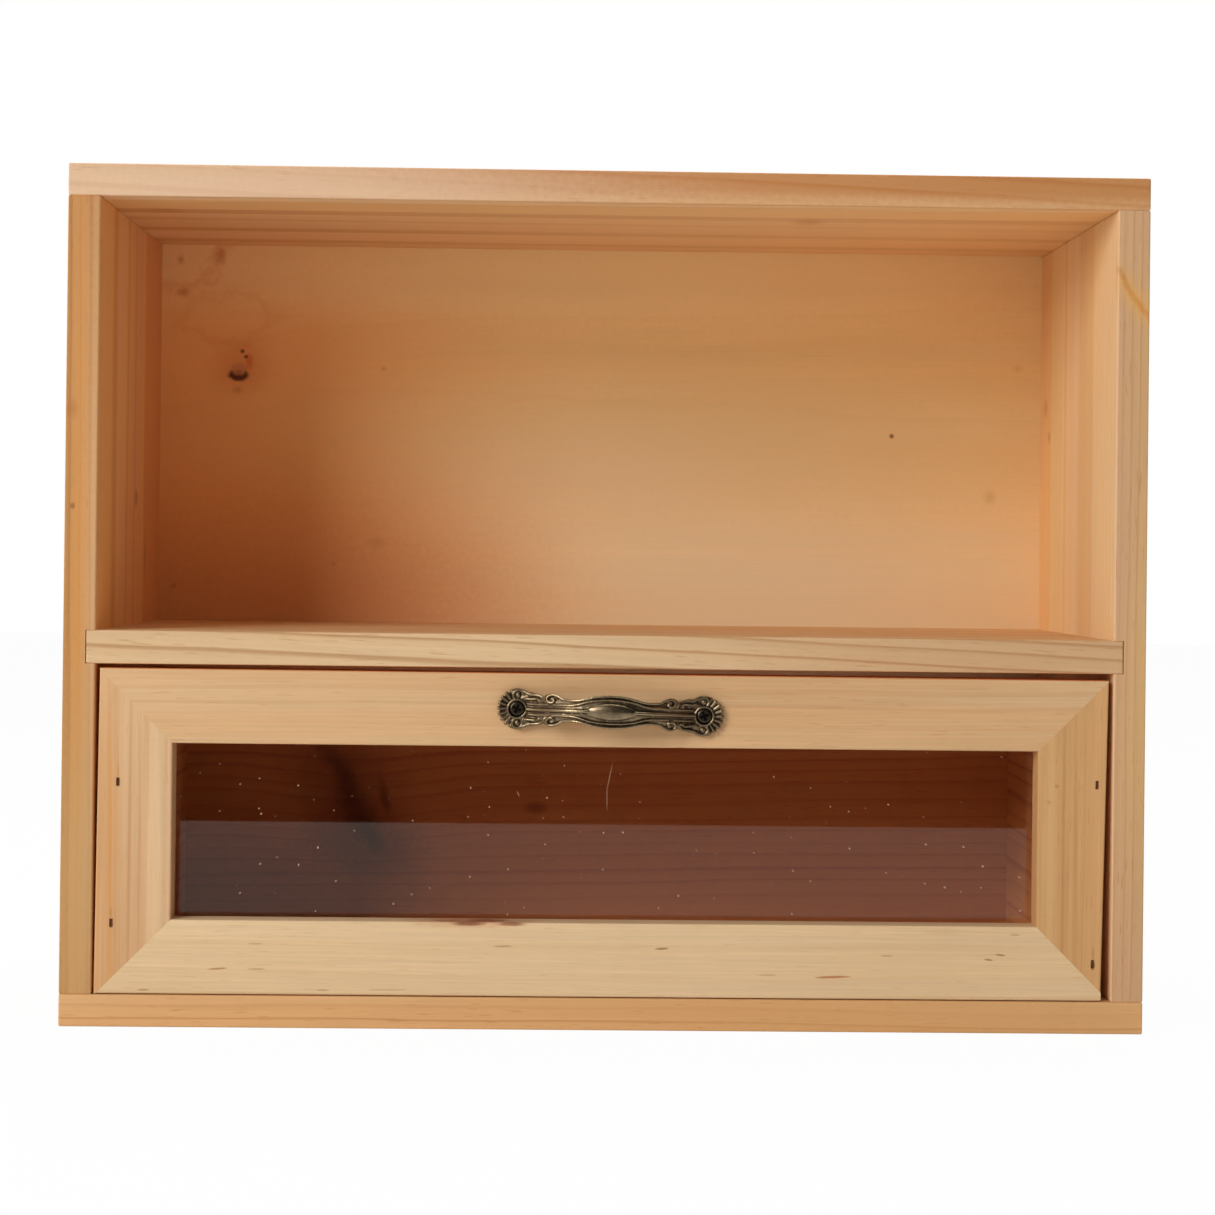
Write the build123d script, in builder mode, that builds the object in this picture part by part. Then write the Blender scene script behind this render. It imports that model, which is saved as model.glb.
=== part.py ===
from build123d import *
import os

os.makedirs("parts", exist_ok=True)

# Frame: X to the right, Y towards the back, Z up.
# The origin is the middle of the underside of the bottom board.

# ---- driving dimensions (mm) ----

# case
case_width = 310.0
case_depth = 120.0
board_thickness = 9.2
shelf_thickness = 9.5
drawer_bay_height = 94.2
compartment_height = 123.9
panel_thickness = 5.0
panel_ledge = 4.5
panel_clearance = 0.3
dado_depth = 2.8
shelf_end_clearance = 0.2
arris_radius = 0.5

# drawer front: a mitred frame, its outer edges planed a little out of square
front_thickness = 12.0
bottom_rail_height = 21.1
top_rail_height = 20.85
left_stile_width = 21.3
right_stile_width = 19.5
gap_left_top = 1.4
gap_left_bottom = 0.65
gap_right_top = 1.4
gap_right_bottom = 2.95
gap_top_left = 1.25
gap_top_right = 2.05
running_clearance = 0.3
lip_depth = 8.0
rebate_width = 4.5
front_arris_radius = 0.6

# window pane
glass_thickness = 2.0
glass_clearance = 0.4

# drawer box
drawer_wall = 8.4
drawer_side_gap = 3.0
drawer_back_gap = 0.5
drawer_top_gap = 11.4
drawer_floor_thickness = 4.0
drawer_floor_height = 2.0
floor_groove_depth = 3.0
floor_clearance = 0.1

# brads: flat wire with a T head, driven below the surface
brad_width = 1.25
brad_wire = 1.0
brad_head_width = 2.4
brad_head_height = 0.6
brad_sink = 1.0
board_brad_length = 20.0
panel_brad_length = 14.0
brad_edge_inset = 22.0
front_brad_height_left = (60.3, 20.1)
front_brad_height_right = (62.0, 10.6)
front_brad_inset_left = (6.3, 4.8)
front_brad_inset_right = (1.6, 2.4)

# glazing points: brads without heads that hold the pane in its rebate
point_embed = 4.0
point_reach = 3.0
point_inset = 45.0

# pull: a cast bar between two shell-shaped ends
pull_offset_x = 1.25
pull_below_top = 10.7
pull_tilt = 1.7
screw_spacing = 53.5
shell_radius = 5.2
shell_thickness = 2.0
flute_count = 9
shell_sweep = 144.0
flute_width = 0.55
flute_depth = 0.7
boss_radius = 2.95
boss_height = 2.6
volute_offset = 3.9
volute_radius = 1.9
volute_height = 2.8
leaf_length = 6.4
leaf_width = 3.4
leaf_height = 3.0
scroll_radius = 1.5
scroll_position = 16.0
scroll_offset = 3.1
arm_embed = 0.4
bar_projection = 12.0
bar_thickness = 3.4
bar_grip_width = 9.3
bar_neck_width = 5.8
bar_neck_position = 10.5
# shares of the axis height, the neck width and the bar thickness at each section of the bar
foot_shares = (0.62, 1.0)
waist_shares = (0.30, 1.02, 0.9)
scroll_shares = (0.58, 1.06, 1.1)
neck_rise_share = 0.86
flare_place_share = 0.5
flare_rise_share = 0.97
flare_width_share = 0.52
foot_rise_share = 0.7
leaf_place_share = 0.68
lens_length = 18.0
lens_width = 5.2
lens_rise = 0.3

# pull screws
screw_radius = 1.5
screw_length = 13.0
screw_head_radius = 2.3
screw_head_height = 1.2
screw_dome_share = 0.7
screw_tip_radius = 0.2
screw_head_seat = 1.0
screw_clearance = 0.1
recess_width = 0.7
recess_span = 2.6
recess_depth = 0.8
recess_turn = 20.0

# ---- derived places ----

inner_half = case_width / 2 - board_thickness
front_y = -case_depth / 2
back_y = case_depth / 2
panel_y = back_y - panel_thickness
shelf_z = board_thickness + drawer_bay_height
compartment_z = shelf_z + shelf_thickness
top_z = compartment_z + compartment_height
case_height = top_z + board_thickness
ledge_half = inner_half + panel_ledge

# drawer front outline, corner by corner as (x, z)
front_bottom_z = board_thickness + running_clearance
corner_bottom_left = (-inner_half + gap_left_bottom, front_bottom_z)
corner_bottom_right = (inner_half - gap_right_bottom, front_bottom_z)
corner_top_right = (inner_half - gap_right_top, shelf_z - gap_top_right)
corner_top_left = (-inner_half + gap_left_top, shelf_z - gap_top_left)

window_left = -inner_half + (gap_left_top + gap_left_bottom) / 2 + left_stile_width
window_right = inner_half - (gap_right_top + gap_right_bottom) / 2 - right_stile_width
window_bottom = front_bottom_z + bottom_rail_height
front_top_z = shelf_z - (gap_top_left + gap_top_right) / 2
window_top = front_top_z - top_rail_height
mitre_reach = 2 * max(bottom_rail_height, top_rail_height, left_stile_width, right_stile_width)

front_back_y = front_y + front_thickness
lip_y = front_y + lip_depth
glass_back_y = lip_y + glass_thickness

box_half = inner_half - drawer_side_gap
box_inner_half = box_half - drawer_wall
box_back_y = panel_y - drawer_back_gap
box_bottom_z = board_thickness + running_clearance
box_top_z = shelf_z - drawer_top_gap
floor_z = box_bottom_z + drawer_floor_height
floor_top_z = floor_z + drawer_floor_thickness

front_face = Plane.XZ.offset(-front_y)


def block(x_span, y_span, z_span, mode=Mode.ADD):
    # a rectangular block between two X, two Y and two Z values
    middle = [(span[0] + span[1]) / 2 for span in (x_span, y_span, z_span)]
    with Locations(tuple(middle)):
        Box(x_span[1] - x_span[0], y_span[1] - y_span[0], z_span[1] - z_span[0], mode=mode)


# ---- brads ----


def drive_brads(planes, length, headed=True):
    # one brad on each plane, which lies on the surface with its Z into the wood
    sink = brad_sink if headed else 0.0
    head_height = brad_head_height if headed else 0.0
    with BuildPart() as brads:
        for plane in planes:
            if headed:
                with BuildSketch(plane.offset(sink)):
                    Rectangle(brad_head_width, brad_wire)
                extrude(amount=head_height)
            with BuildSketch(plane.offset(sink + head_height)):
                Rectangle(brad_width, brad_wire)
            extrude(amount=length - sink - head_height)
    return brads


def clear_brads(planes, brads):
    # the hole of each brad, open to the surface above its sunk head
    add(brads.part, mode=Mode.SUBTRACT)
    for plane in planes:
        with BuildSketch(plane) as mouth:
            Rectangle(brad_head_width, brad_wire)
        extrude(mouth.sketch, amount=brad_sink, mode=Mode.SUBTRACT)


brad_rows_y = (front_y + brad_edge_inset, panel_y - brad_edge_inset)
side_middle_x = case_width / 2 - board_thickness / 2
shelf_middle_z = shelf_z + shelf_thickness / 2

top_brad_planes = [
    Plane(origin=(x, y, case_height), x_dir=(0, 1, 0), z_dir=(0, 0, -1))
    for x in (-side_middle_x, side_middle_x)
    for y in brad_rows_y
]
bottom_brad_planes = [
    Plane(origin=(x, y, 0), x_dir=(0, 1, 0), z_dir=(0, 0, 1))
    for x in (-side_middle_x, side_middle_x)
    for y in brad_rows_y
]
shelf_brad_planes = [
    Plane(origin=(side * case_width / 2, y, shelf_middle_z), x_dir=(0, 1, 0), z_dir=(-side, 0, 0))
    for side in (-1, 1)
    for y in brad_rows_y
]

ledge_middle = panel_ledge / 2
panel_side_z = (board_thickness + brad_edge_inset, shelf_middle_z, top_z - brad_edge_inset)
panel_row_x = (-inner_half + brad_edge_inset, 0.0, inner_half - brad_edge_inset)
panel_brad_points = [
    (side * (inner_half + ledge_middle), z, (0, 0, 1)) for side in (-1, 1) for z in panel_side_z
]
panel_brad_points += [
    (x, z, (1, 0, 0))
    for x in panel_row_x
    for z in (board_thickness - ledge_middle, shelf_middle_z, top_z + ledge_middle)
]
panel_brad_planes = [
    Plane(origin=(x, back_y, z), x_dir=along, z_dir=(0, -1, 0)) for x, z, along in panel_brad_points
]

top_brads = drive_brads(top_brad_planes, board_brad_length)
bottom_brads = drive_brads(bottom_brad_planes, board_brad_length)
shelf_brads = drive_brads(shelf_brad_planes, board_brad_length)
back_panel_brads = drive_brads(panel_brad_planes, panel_brad_length)

# ---- case ----

with BuildPart() as case_top:
    block((-case_width / 2, case_width / 2), (front_y, back_y), (top_z, case_height))
    fillet(case_top.edges(), arris_radius)
    block((-ledge_half, ledge_half), (panel_y, back_y), (top_z, top_z + panel_ledge), Mode.SUBTRACT)
    clear_brads(top_brad_planes, top_brads)
    add(back_panel_brads.part, mode=Mode.SUBTRACT)

with BuildPart() as case_bottom:
    block((-case_width / 2, case_width / 2), (front_y, back_y), (0, board_thickness))
    fillet(case_bottom.edges(), arris_radius)
    block(
        (-ledge_half, ledge_half),
        (panel_y, back_y),
        (board_thickness - panel_ledge, board_thickness),
        Mode.SUBTRACT,
    )
    clear_brads(bottom_brad_planes, bottom_brads)
    add(back_panel_brads.part, mode=Mode.SUBTRACT)


def build_case_side(side):
    # side is -1 for the left board and 1 for the right one
    outer_x = side * case_width / 2
    inner_x = side * inner_half
    dado_x = side * (inner_half + dado_depth)
    ledge_x = side * ledge_half
    with BuildPart() as board:
        block(sorted((outer_x, inner_x)), (front_y, back_y), (board_thickness, top_z))
        fillet(board.edges(), arris_radius)
        block(sorted((inner_x, dado_x)), (front_y, panel_y), (shelf_z, compartment_z), Mode.SUBTRACT)
        block(sorted((inner_x, ledge_x)), (panel_y, back_y), (board_thickness, top_z), Mode.SUBTRACT)
        clear_brads(shelf_brad_planes, shelf_brads)
        add(top_brads.part, mode=Mode.SUBTRACT)
        add(bottom_brads.part, mode=Mode.SUBTRACT)
        add(back_panel_brads.part, mode=Mode.SUBTRACT)
    return board


case_left_side = build_case_side(-1)
case_right_side = build_case_side(1)

shelf_half = inner_half + dado_depth - shelf_end_clearance
with BuildPart() as shelf:
    block((-shelf_half, shelf_half), (front_y, panel_y), (shelf_z, compartment_z))
    fillet(shelf.edges(), arris_radius)
    add(shelf_brads.part, mode=Mode.SUBTRACT)
    add(back_panel_brads.part, mode=Mode.SUBTRACT)

panel_half = ledge_half - panel_clearance
panel_z_span = (board_thickness - panel_ledge + panel_clearance, top_z + panel_ledge - panel_clearance)
with BuildPart() as back_panel:
    block((-panel_half, panel_half), (panel_y, back_y), panel_z_span)
    clear_brads(panel_brad_planes, back_panel_brads)

# ---- drawer front ----

stile_brad_points = [
    (corner_bottom_left[0] + inset, height)
    for inset, height in zip(front_brad_inset_left, front_brad_height_left)
]
stile_brad_points += [
    (corner_bottom_right[0] - inset, height)
    for inset, height in zip(front_brad_inset_right, front_brad_height_right)
]
front_brad_planes = [
    Plane(origin=(x, front_y, front_bottom_z + height), x_dir=(0, 0, 1), z_dir=(0, 1, 0))
    for x, height in stile_brad_points
]
front_brads = drive_brads(front_brad_planes, board_brad_length)

# glazing points lie against the back of the pane: (x, z) on the rebate wall and the way in
rebate_left = window_left - rebate_width
rebate_right = window_right + rebate_width
rebate_bottom = window_bottom - rebate_width
rebate_top = window_top + rebate_width
window_middle_z = (window_bottom + window_top) / 2
point_seats = [
    (window_left + point_inset, rebate_top, (0, 1)),
    (window_right - point_inset, rebate_top, (0, 1)),
    (window_left + point_inset, rebate_bottom, (0, -1)),
    (window_right - point_inset, rebate_bottom, (0, -1)),
    (rebate_left, window_middle_z, (-1, 0)),
    (rebate_right, window_middle_z, (1, 0)),
]
point_planes = [
    Plane(
        origin=(x - way[0] * point_reach, glass_back_y + brad_wire / 2, z - way[1] * point_reach),
        x_dir=(way[1], 0, way[0]),
        z_dir=(way[0], 0, way[1]),
    )
    for x, z, way in point_seats
]
glazing_points = drive_brads(point_planes, point_reach + point_embed, headed=False)

# pull plane: X along the bar, Z out of the rail
pull_z = front_top_z - pull_below_top
pull_direction = Vector(1, 0, 0).rotate(Axis.Y, pull_tilt)
pull_plane = Plane(origin=(pull_offset_x, front_y, pull_z), x_dir=pull_direction, z_dir=(0, -1, 0))
pull_axis = Axis(pull_plane.origin, pull_plane.z_dir)
screw_places = [(side * screw_spacing / 2, 0) for side in (-1, 1)]


def build_front_member(corner_a, corner_b, out_a, out_b, along):
    # one mitred member: it lies between the 45 degree lines through two window corners
    far_a = (corner_a[0] + out_a[0] * mitre_reach, corner_a[1] + out_a[1] * mitre_reach)
    far_b = (corner_b[0] + out_b[0] * mitre_reach, corner_b[1] + out_b[1] * mitre_reach)
    with BuildPart() as member:
        with BuildSketch(front_face):
            with BuildLine():
                Polyline(
                    corner_bottom_left, corner_bottom_right, corner_top_right, corner_top_left, close=True
                )
            make_face()
            with BuildLine() as wedge:
                Polyline(corner_a, corner_b, far_b, far_a, close=True)
            make_face(wedge.edges(), mode=Mode.INTERSECT)
        extrude(amount=-front_thickness)
        front_edges = member.edges().group_by(Axis.Y)[0]
        eased_edges = [edge for edge in front_edges if abs(edge.tangent_at(0).dot(Vector(along))) > 0.99]
        fillet(eased_edges, front_arris_radius)
        block(
            (rebate_left, rebate_right), (lip_y, front_back_y), (rebate_bottom, rebate_top), Mode.SUBTRACT
        )
        add(front_brads.part, mode=Mode.SUBTRACT)
        clear_brads(front_brad_planes, front_brads)
        add(glazing_points.part, mode=Mode.SUBTRACT)
        with BuildSketch(pull_plane):
            with Locations(*screw_places):
                Circle(screw_radius + screw_clearance)
        extrude(amount=screw_head_seat - screw_length, mode=Mode.SUBTRACT)
    return member


window_corner_bl = (window_left, window_bottom)
window_corner_br = (window_right, window_bottom)
window_corner_tr = (window_right, window_top)
window_corner_tl = (window_left, window_top)

front_top_rail = build_front_member(window_corner_tl, window_corner_tr, (-1, 1), (1, 1), (1, 0, 0))
front_bottom_rail = build_front_member(window_corner_br, window_corner_bl, (1, -1), (-1, -1), (1, 0, 0))
front_left_stile = build_front_member(window_corner_bl, window_corner_tl, (-1, -1), (-1, 1), (0, 0, 1))
front_right_stile = build_front_member(window_corner_tr, window_corner_br, (1, 1), (1, -1), (0, 0, 1))

with BuildPart() as window_glass:
    block(
        (rebate_left + glass_clearance, rebate_right - glass_clearance),
        (lip_y, glass_back_y),
        (rebate_bottom + glass_clearance, rebate_top - glass_clearance),
    )

# ---- drawer box ----

box_brad_z = (floor_top_z + brad_edge_inset, box_top_z - brad_edge_inset)
drawer_back_middle_y = box_back_y - drawer_wall / 2
back_brad_planes = [
    Plane(origin=(side * box_half, drawer_back_middle_y, z), x_dir=(0, 0, 1), z_dir=(-side, 0, 0))
    for side in (-1, 1)
    for z in box_brad_z
]
floor_brad_planes = [
    Plane(origin=(x, drawer_back_middle_y, floor_z), x_dir=(1, 0, 0), z_dir=(0, 0, 1))
    for x in (-box_half + brad_edge_inset, 0.0, box_half - brad_edge_inset)
]
drawer_back_brads = drive_brads(back_brad_planes, board_brad_length)
drawer_floor_brads = drive_brads(floor_brad_planes, panel_brad_length)


def build_drawer_side(side):
    outer_x = side * box_half
    inner_x = side * box_inner_half
    groove_x = side * (box_inner_half + floor_groove_depth)
    with BuildPart() as board:
        block(sorted((outer_x, inner_x)), (front_back_y, box_back_y), (box_bottom_z, box_top_z))
        fillet(board.edges().filter_by(Axis.Y), arris_radius)
        block(sorted((inner_x, groove_x)), (front_back_y, box_back_y), (floor_z, floor_top_z), Mode.SUBTRACT)
        add(front_brads.part, mode=Mode.SUBTRACT)
        clear_brads(back_brad_planes, drawer_back_brads)
    return board


drawer_left_side = build_drawer_side(-1)
drawer_right_side = build_drawer_side(1)

with BuildPart() as drawer_back:
    block(
        (-box_inner_half, box_inner_half), (box_back_y - drawer_wall, box_back_y), (floor_top_z, box_top_z)
    )
    fillet(drawer_back.edges().filter_by(Axis.X).group_by(Axis.Z)[-1], arris_radius)
    add(drawer_back_brads.part, mode=Mode.SUBTRACT)
    add(drawer_floor_brads.part, mode=Mode.SUBTRACT)

floor_half = box_inner_half + floor_groove_depth - floor_clearance
with BuildPart() as drawer_floor:
    block((-floor_half, floor_half), (front_back_y, box_back_y), (floor_z, floor_top_z))
    clear_brads(floor_brad_planes, drawer_floor_brads)

# ---- pull ----

bar_axis_w = bar_projection - bar_thickness / 2
shell_centre = screw_spacing / 2
# sections of the bar from one shell to the middle: place, height of the axis, width, thickness
arm_foot = shell_centre - boss_radius + arm_embed
foot_rise = shell_thickness * foot_rise_share
scroll_rise = bar_axis_w * scroll_shares[0]
flare_width = (bar_neck_width + bar_grip_width) * flare_width_share
bar_sections = [
    (arm_foot, foot_rise, bar_neck_width * foot_shares[0], shell_thickness * foot_shares[1]),
    (
        (arm_foot + scroll_position) / 2,
        bar_axis_w * waist_shares[0],
        bar_neck_width * waist_shares[1],
        bar_thickness * waist_shares[2],
    ),
    (scroll_position, scroll_rise, bar_neck_width * scroll_shares[1], bar_thickness * scroll_shares[2]),
    (bar_neck_position, bar_axis_w * neck_rise_share, bar_neck_width, bar_thickness),
    (bar_neck_position * flare_place_share, bar_axis_w * flare_rise_share, flare_width, bar_thickness),
]
bar_stations = [(-place, *rest) for place, *rest in bar_sections]
bar_stations += [(0.0, bar_axis_w, bar_grip_width, bar_thickness)]
bar_stations += list(reversed(bar_sections))


def station_plane(place, height):
    # a plane across the bar, its X along the width and its Z along the bar
    origin = pull_plane.from_local_coords((place, 0, height))
    return Plane(origin=origin, x_dir=pull_plane.y_dir, z_dir=pull_plane.x_dir)


with BuildPart() as lens:
    for place, height, width, thickness in bar_stations:
        with BuildSketch(station_plane(place, height)):
            Ellipse(width / 2 + lens_rise, thickness / 2 + lens_rise)
    loft()
    with BuildSketch(pull_plane.offset(bar_axis_w)):
        with BuildLine():
            ThreePointArc((-lens_length / 2, 0), (0, lens_width / 2), (lens_length / 2, 0))
            ThreePointArc((lens_length / 2, 0), (0, -lens_width / 2), (-lens_length / 2, 0))
        make_face()
    extrude(amount=bar_thickness, mode=Mode.INTERSECT)

with BuildPart() as pull_handle:
    for place, height, width, thickness in bar_stations:
        with BuildSketch(station_plane(place, height)):
            Ellipse(width / 2, thickness / 2)
    loft()
    # pointed lens standing proud on the grip
    add(lens.part)
    flute_sweep = shell_sweep * (flute_count - 2) / (flute_count - 1)
    leaf_reach = leaf_length * leaf_place_share
    for side in (-1, 1):
        shell_x = side * shell_centre
        outward = 0 if side > 0 else 180
        # the shell, scalloped round its outer half
        with BuildSketch(pull_plane):
            with Locations((shell_x, 0)):
                Circle(shell_radius)
                with PolarLocations(
                    shell_radius - flute_width,
                    flute_count,
                    outward - shell_sweep / 2,
                    shell_sweep,
                    endpoint=True,
                ):
                    Circle(2 * flute_width)
        extrude(amount=shell_thickness)
        with BuildSketch(pull_plane.offset(shell_thickness)):
            with Locations((shell_x, 0)):
                with PolarLocations(
                    (shell_radius + boss_radius) / 2,
                    flute_count - 1,
                    outward - flute_sweep / 2,
                    flute_sweep,
                    endpoint=True,
                ):
                    SlotOverall(shell_radius - boss_radius, flute_width)
        extrude(amount=-flute_depth, mode=Mode.SUBTRACT)
        # two leaves from the shell to the foot of the bar, then a small scroll on each edge
        for way in (-1, 1):
            with BuildSketch(pull_plane):
                with Locations((shell_x - side * leaf_reach, way * volute_offset * leaf_place_share)):
                    Ellipse(leaf_length / 2, leaf_width / 2)
            extrude(amount=leaf_height)
            with BuildSketch(pull_plane):
                with Locations((shell_x, way * volute_offset)):
                    Circle(volute_radius)
            extrude(amount=volute_height)
            with BuildSketch(pull_plane.offset(scroll_rise - bar_thickness / 2)):
                with Locations((side * scroll_position, way * scroll_offset)):
                    Circle(scroll_radius)
            extrude(amount=bar_thickness)
        with BuildSketch(pull_plane):
            with Locations((shell_x, 0)):
                Circle(boss_radius)
        extrude(amount=boss_height)
        # seat and hole of the screw
        with BuildSketch(pull_plane.offset(screw_head_seat)):
            with Locations((shell_x, 0)):
                Circle(screw_head_radius + screw_clearance)
        extrude(amount=bar_projection, mode=Mode.SUBTRACT)
        with BuildSketch(pull_plane):
            with Locations((shell_x, 0)):
                Circle(screw_radius + screw_clearance)
        extrude(amount=bar_projection, mode=Mode.SUBTRACT)


def build_pull_screw(side):
    # a cross-head screw: domed head, plain core, pointed tip
    seat_origin = pull_plane.from_local_coords((side * shell_centre, 0, screw_head_seat))
    seat_plane = Plane(origin=seat_origin, x_dir=pull_plane.x_dir, z_dir=pull_plane.z_dir)
    tip_length = 2 * screw_radius
    with BuildPart() as screw:
        with BuildSketch(seat_plane):
            Circle(screw_head_radius)
        extrude(amount=screw_head_height)
        fillet(screw.edges().sort_by(pull_axis)[-1], screw_head_height * screw_dome_share)
        with BuildSketch(seat_plane):
            Circle(screw_radius)
        extrude(amount=tip_length - screw_length)
        with BuildSketch(seat_plane.offset(tip_length - screw_length)):
            Circle(screw_radius)
        with BuildSketch(seat_plane.offset(-screw_length)):
            Circle(screw_tip_radius)
        loft()
        with BuildSketch(seat_plane.offset(screw_head_height)):
            Rectangle(recess_span, recess_width, rotation=recess_turn * side)
            Rectangle(recess_width, recess_span, rotation=recess_turn * side)
        extrude(amount=-recess_depth, mode=Mode.SUBTRACT)
    return screw


pull_left_screw = build_pull_screw(-1)
pull_right_screw = build_pull_screw(1)

# ---- files ----

pieces = {
    "case_top": case_top,
    "case_bottom": case_bottom,
    "case_left_side": case_left_side,
    "case_right_side": case_right_side,
    "shelf": shelf,
    "back_panel": back_panel,
    "top_brads": top_brads,
    "bottom_brads": bottom_brads,
    "shelf_brads": shelf_brads,
    "back_panel_brads": back_panel_brads,
    "front_top_rail": front_top_rail,
    "front_bottom_rail": front_bottom_rail,
    "front_left_stile": front_left_stile,
    "front_right_stile": front_right_stile,
    "window_glass": window_glass,
    "glazing_points": glazing_points,
    "drawer_left_side": drawer_left_side,
    "drawer_right_side": drawer_right_side,
    "drawer_back": drawer_back,
    "drawer_floor": drawer_floor,
    "front_brads": front_brads,
    "drawer_back_brads": drawer_back_brads,
    "drawer_floor_brads": drawer_floor_brads,
    "pull_handle": pull_handle,
    "pull_left_screw": pull_left_screw,
    "pull_right_screw": pull_right_screw,
}
for name, piece in pieces.items():
    piece.part.label = name
    export_step(piece.part, f"parts/{name}.step")
    print(name, len(piece.part.solids()), "solids", round(piece.part.volume, 2), "mm3")
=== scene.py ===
import math

import bpy
from mathutils import Euler, Matrix, Vector


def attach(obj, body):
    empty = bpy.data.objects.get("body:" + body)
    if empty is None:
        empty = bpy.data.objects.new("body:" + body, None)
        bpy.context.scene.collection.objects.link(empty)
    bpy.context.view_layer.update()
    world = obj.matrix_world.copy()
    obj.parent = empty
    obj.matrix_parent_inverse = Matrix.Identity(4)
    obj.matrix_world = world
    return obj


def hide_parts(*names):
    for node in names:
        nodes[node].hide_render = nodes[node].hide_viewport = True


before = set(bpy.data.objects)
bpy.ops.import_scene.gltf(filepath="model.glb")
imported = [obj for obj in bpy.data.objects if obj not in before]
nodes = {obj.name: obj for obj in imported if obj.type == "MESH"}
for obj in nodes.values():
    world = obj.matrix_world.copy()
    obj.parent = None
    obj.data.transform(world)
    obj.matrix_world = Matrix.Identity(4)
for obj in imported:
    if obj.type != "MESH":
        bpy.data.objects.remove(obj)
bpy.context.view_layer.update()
mm = 0.001
print("stage: frame loaded with", len(nodes), "pieces")


# small helpers for the node trees

def addNode(tree, kind, **settings):
    node = tree.nodes.new("ShaderNode" + kind)
    for name, value in settings.items():
        setattr(node, name, value)
    return node


def feed(tree, source, socket):
    # a socket is wired and a value is typed in
    if isinstance(source, bpy.types.NodeSocket):
        tree.links.new(source, socket)
    elif source is not None:
        socket.default_value = source


def calc(tree, operation, *terms, clamp=False):
    node = addNode(tree, "Math", operation=operation, use_clamp=clamp)
    for term, socket in zip(terms, node.inputs):
        feed(tree, term, socket)
    return node.outputs["Value"]


def times(tree, first, second):
    return calc(tree, "MULTIPLY", first, second)


def plus(tree, first, second):
    return calc(tree, "ADD", first, second)


def minus(tree, first, second):
    return calc(tree, "SUBTRACT", first, second)


def sway(tree, noise, amount):
    # a 0 to 1 noise, made to swing round nought
    return times(tree, minus(tree, noise, 0.5), amount)


def vectorCalc(tree, operation, first, second=None, scale=None):
    node = addNode(tree, "VectorMath", operation=operation)
    feed(tree, first, node.inputs[0])
    feed(tree, second, node.inputs[1])
    feed(tree, scale, node.inputs[3])
    return node.outputs["Value" if operation == "LENGTH" else "Vector"]


def inMillimetres(tree, vector):
    return vectorCalc(tree, "SCALE", vector, scale=1000.0)


def split(tree, vector):
    apart = addNode(tree, "SeparateXYZ")
    feed(tree, vector, apart.inputs["Vector"])
    return apart.outputs


def combine(tree, **axes):
    whole = addNode(tree, "CombineXYZ")
    for axis, value in axes.items():
        feed(tree, value, whole.inputs[axis])
    return whole.outputs["Vector"]


def objectSpot(tree):
    return addNode(tree, "TexCoord").outputs["Object"]


def ramp(tree, value, low, high, start=0.0, end=1.0, smooth=True):
    node = addNode(tree, "MapRange", interpolation_type="SMOOTHSTEP" if smooth else "LINEAR")
    for source, socket in zip((value, low, high, start, end), node.inputs):
        feed(tree, source, socket)
    return node.outputs["Result"]


def blendColours(tree, share, first, second, way="MIX"):
    node = addNode(tree, "Mix", data_type="RGBA", blend_type=way)
    feed(tree, share, node.inputs["Factor"])
    feed(tree, first, node.inputs["A"])
    feed(tree, second, node.inputs["B"])
    return node.outputs["Result"]


def cloud(tree, vector, seed, detail=2.0, roughness=0.5):
    node = addNode(tree, "TexNoise", noise_dimensions="4D")
    feed(tree, vector, node.inputs["Vector"])
    for name, value in (("W", seed), ("Scale", 1.0), ("Detail", detail), ("Roughness", roughness)):
        feed(tree, value, node.inputs[name])
    return node.outputs["Fac"]


nowhere = (0.0, 0.0, 0.0)
black = (0.0, 0.0, 0.0, 1.0)


def startGroup(name, given, **made):
    # an input's kind follows from its value: a number, three for a vector or four for a colour
    group = bpy.data.node_groups.new(name, "ShaderNodeTree")
    for label, value in given.items():
        kind = "Float" if isinstance(value, float) else {3: "Vector", 4: "Color"}[len(value)]
        socket = group.interface.new_socket(label, in_out="INPUT", socket_type="NodeSocket" + kind)
        socket.default_value = value
    for label, kind in made.items():
        group.interface.new_socket(label, in_out="OUTPUT", socket_type="NodeSocket" + kind)
    return group, group.nodes.new("NodeGroupInput").outputs, group.nodes.new("NodeGroupOutput").inputs


def useGroup(tree, group, **values):
    node = addNode(tree, "Group")
    node.node_tree = group
    for name, value in values.items():
        feed(tree, value, node.inputs[name])
    return node.outputs


def colour(red, green, blue):
    # an everyday 0 to 255 colour, as the linear values that sockets hold
    def linear(value):
        value /= 255
        return value / 12.92 if value <= 0.04045 else ((value + 0.055) / 1.055) ** 2.4
    return (linear(red), linear(green), linear(blue), 1.0)


def startMaterial(name):
    material = bpy.data.materials.new(name)
    material.use_nodes = True
    tree = material.node_tree
    tree.nodes.clear()
    output = addNode(tree, "OutputMaterial")
    skin = addNode(tree, "BsdfPrincipled")
    feed(tree, skin.outputs["BSDF"], output.inputs["Surface"])
    return material, tree, skin, output


def mixShaders(tree, share, first, second):
    mixer = addNode(tree, "MixShader")
    for source, socket in zip((share, first, second), mixer.inputs):
        feed(tree, source, socket)
    return mixer.outputs["Shader"]


def addRelief(tree, skin, height, strength, distance):
    relief = addNode(tree, "Bump")
    relief.inputs["Strength"].default_value = strength
    relief.inputs["Distance"].default_value = distance
    feed(tree, height, relief.inputs["Height"])
    feed(tree, relief.outputs["Normal"], skin.inputs["Normal"])


def dress(name, material):
    for slot in nodes[name].material_slots:
        slot.material = material


def deselectAll():
    bpy.ops.object.select_all(action="DESELECT")


# camera

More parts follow.
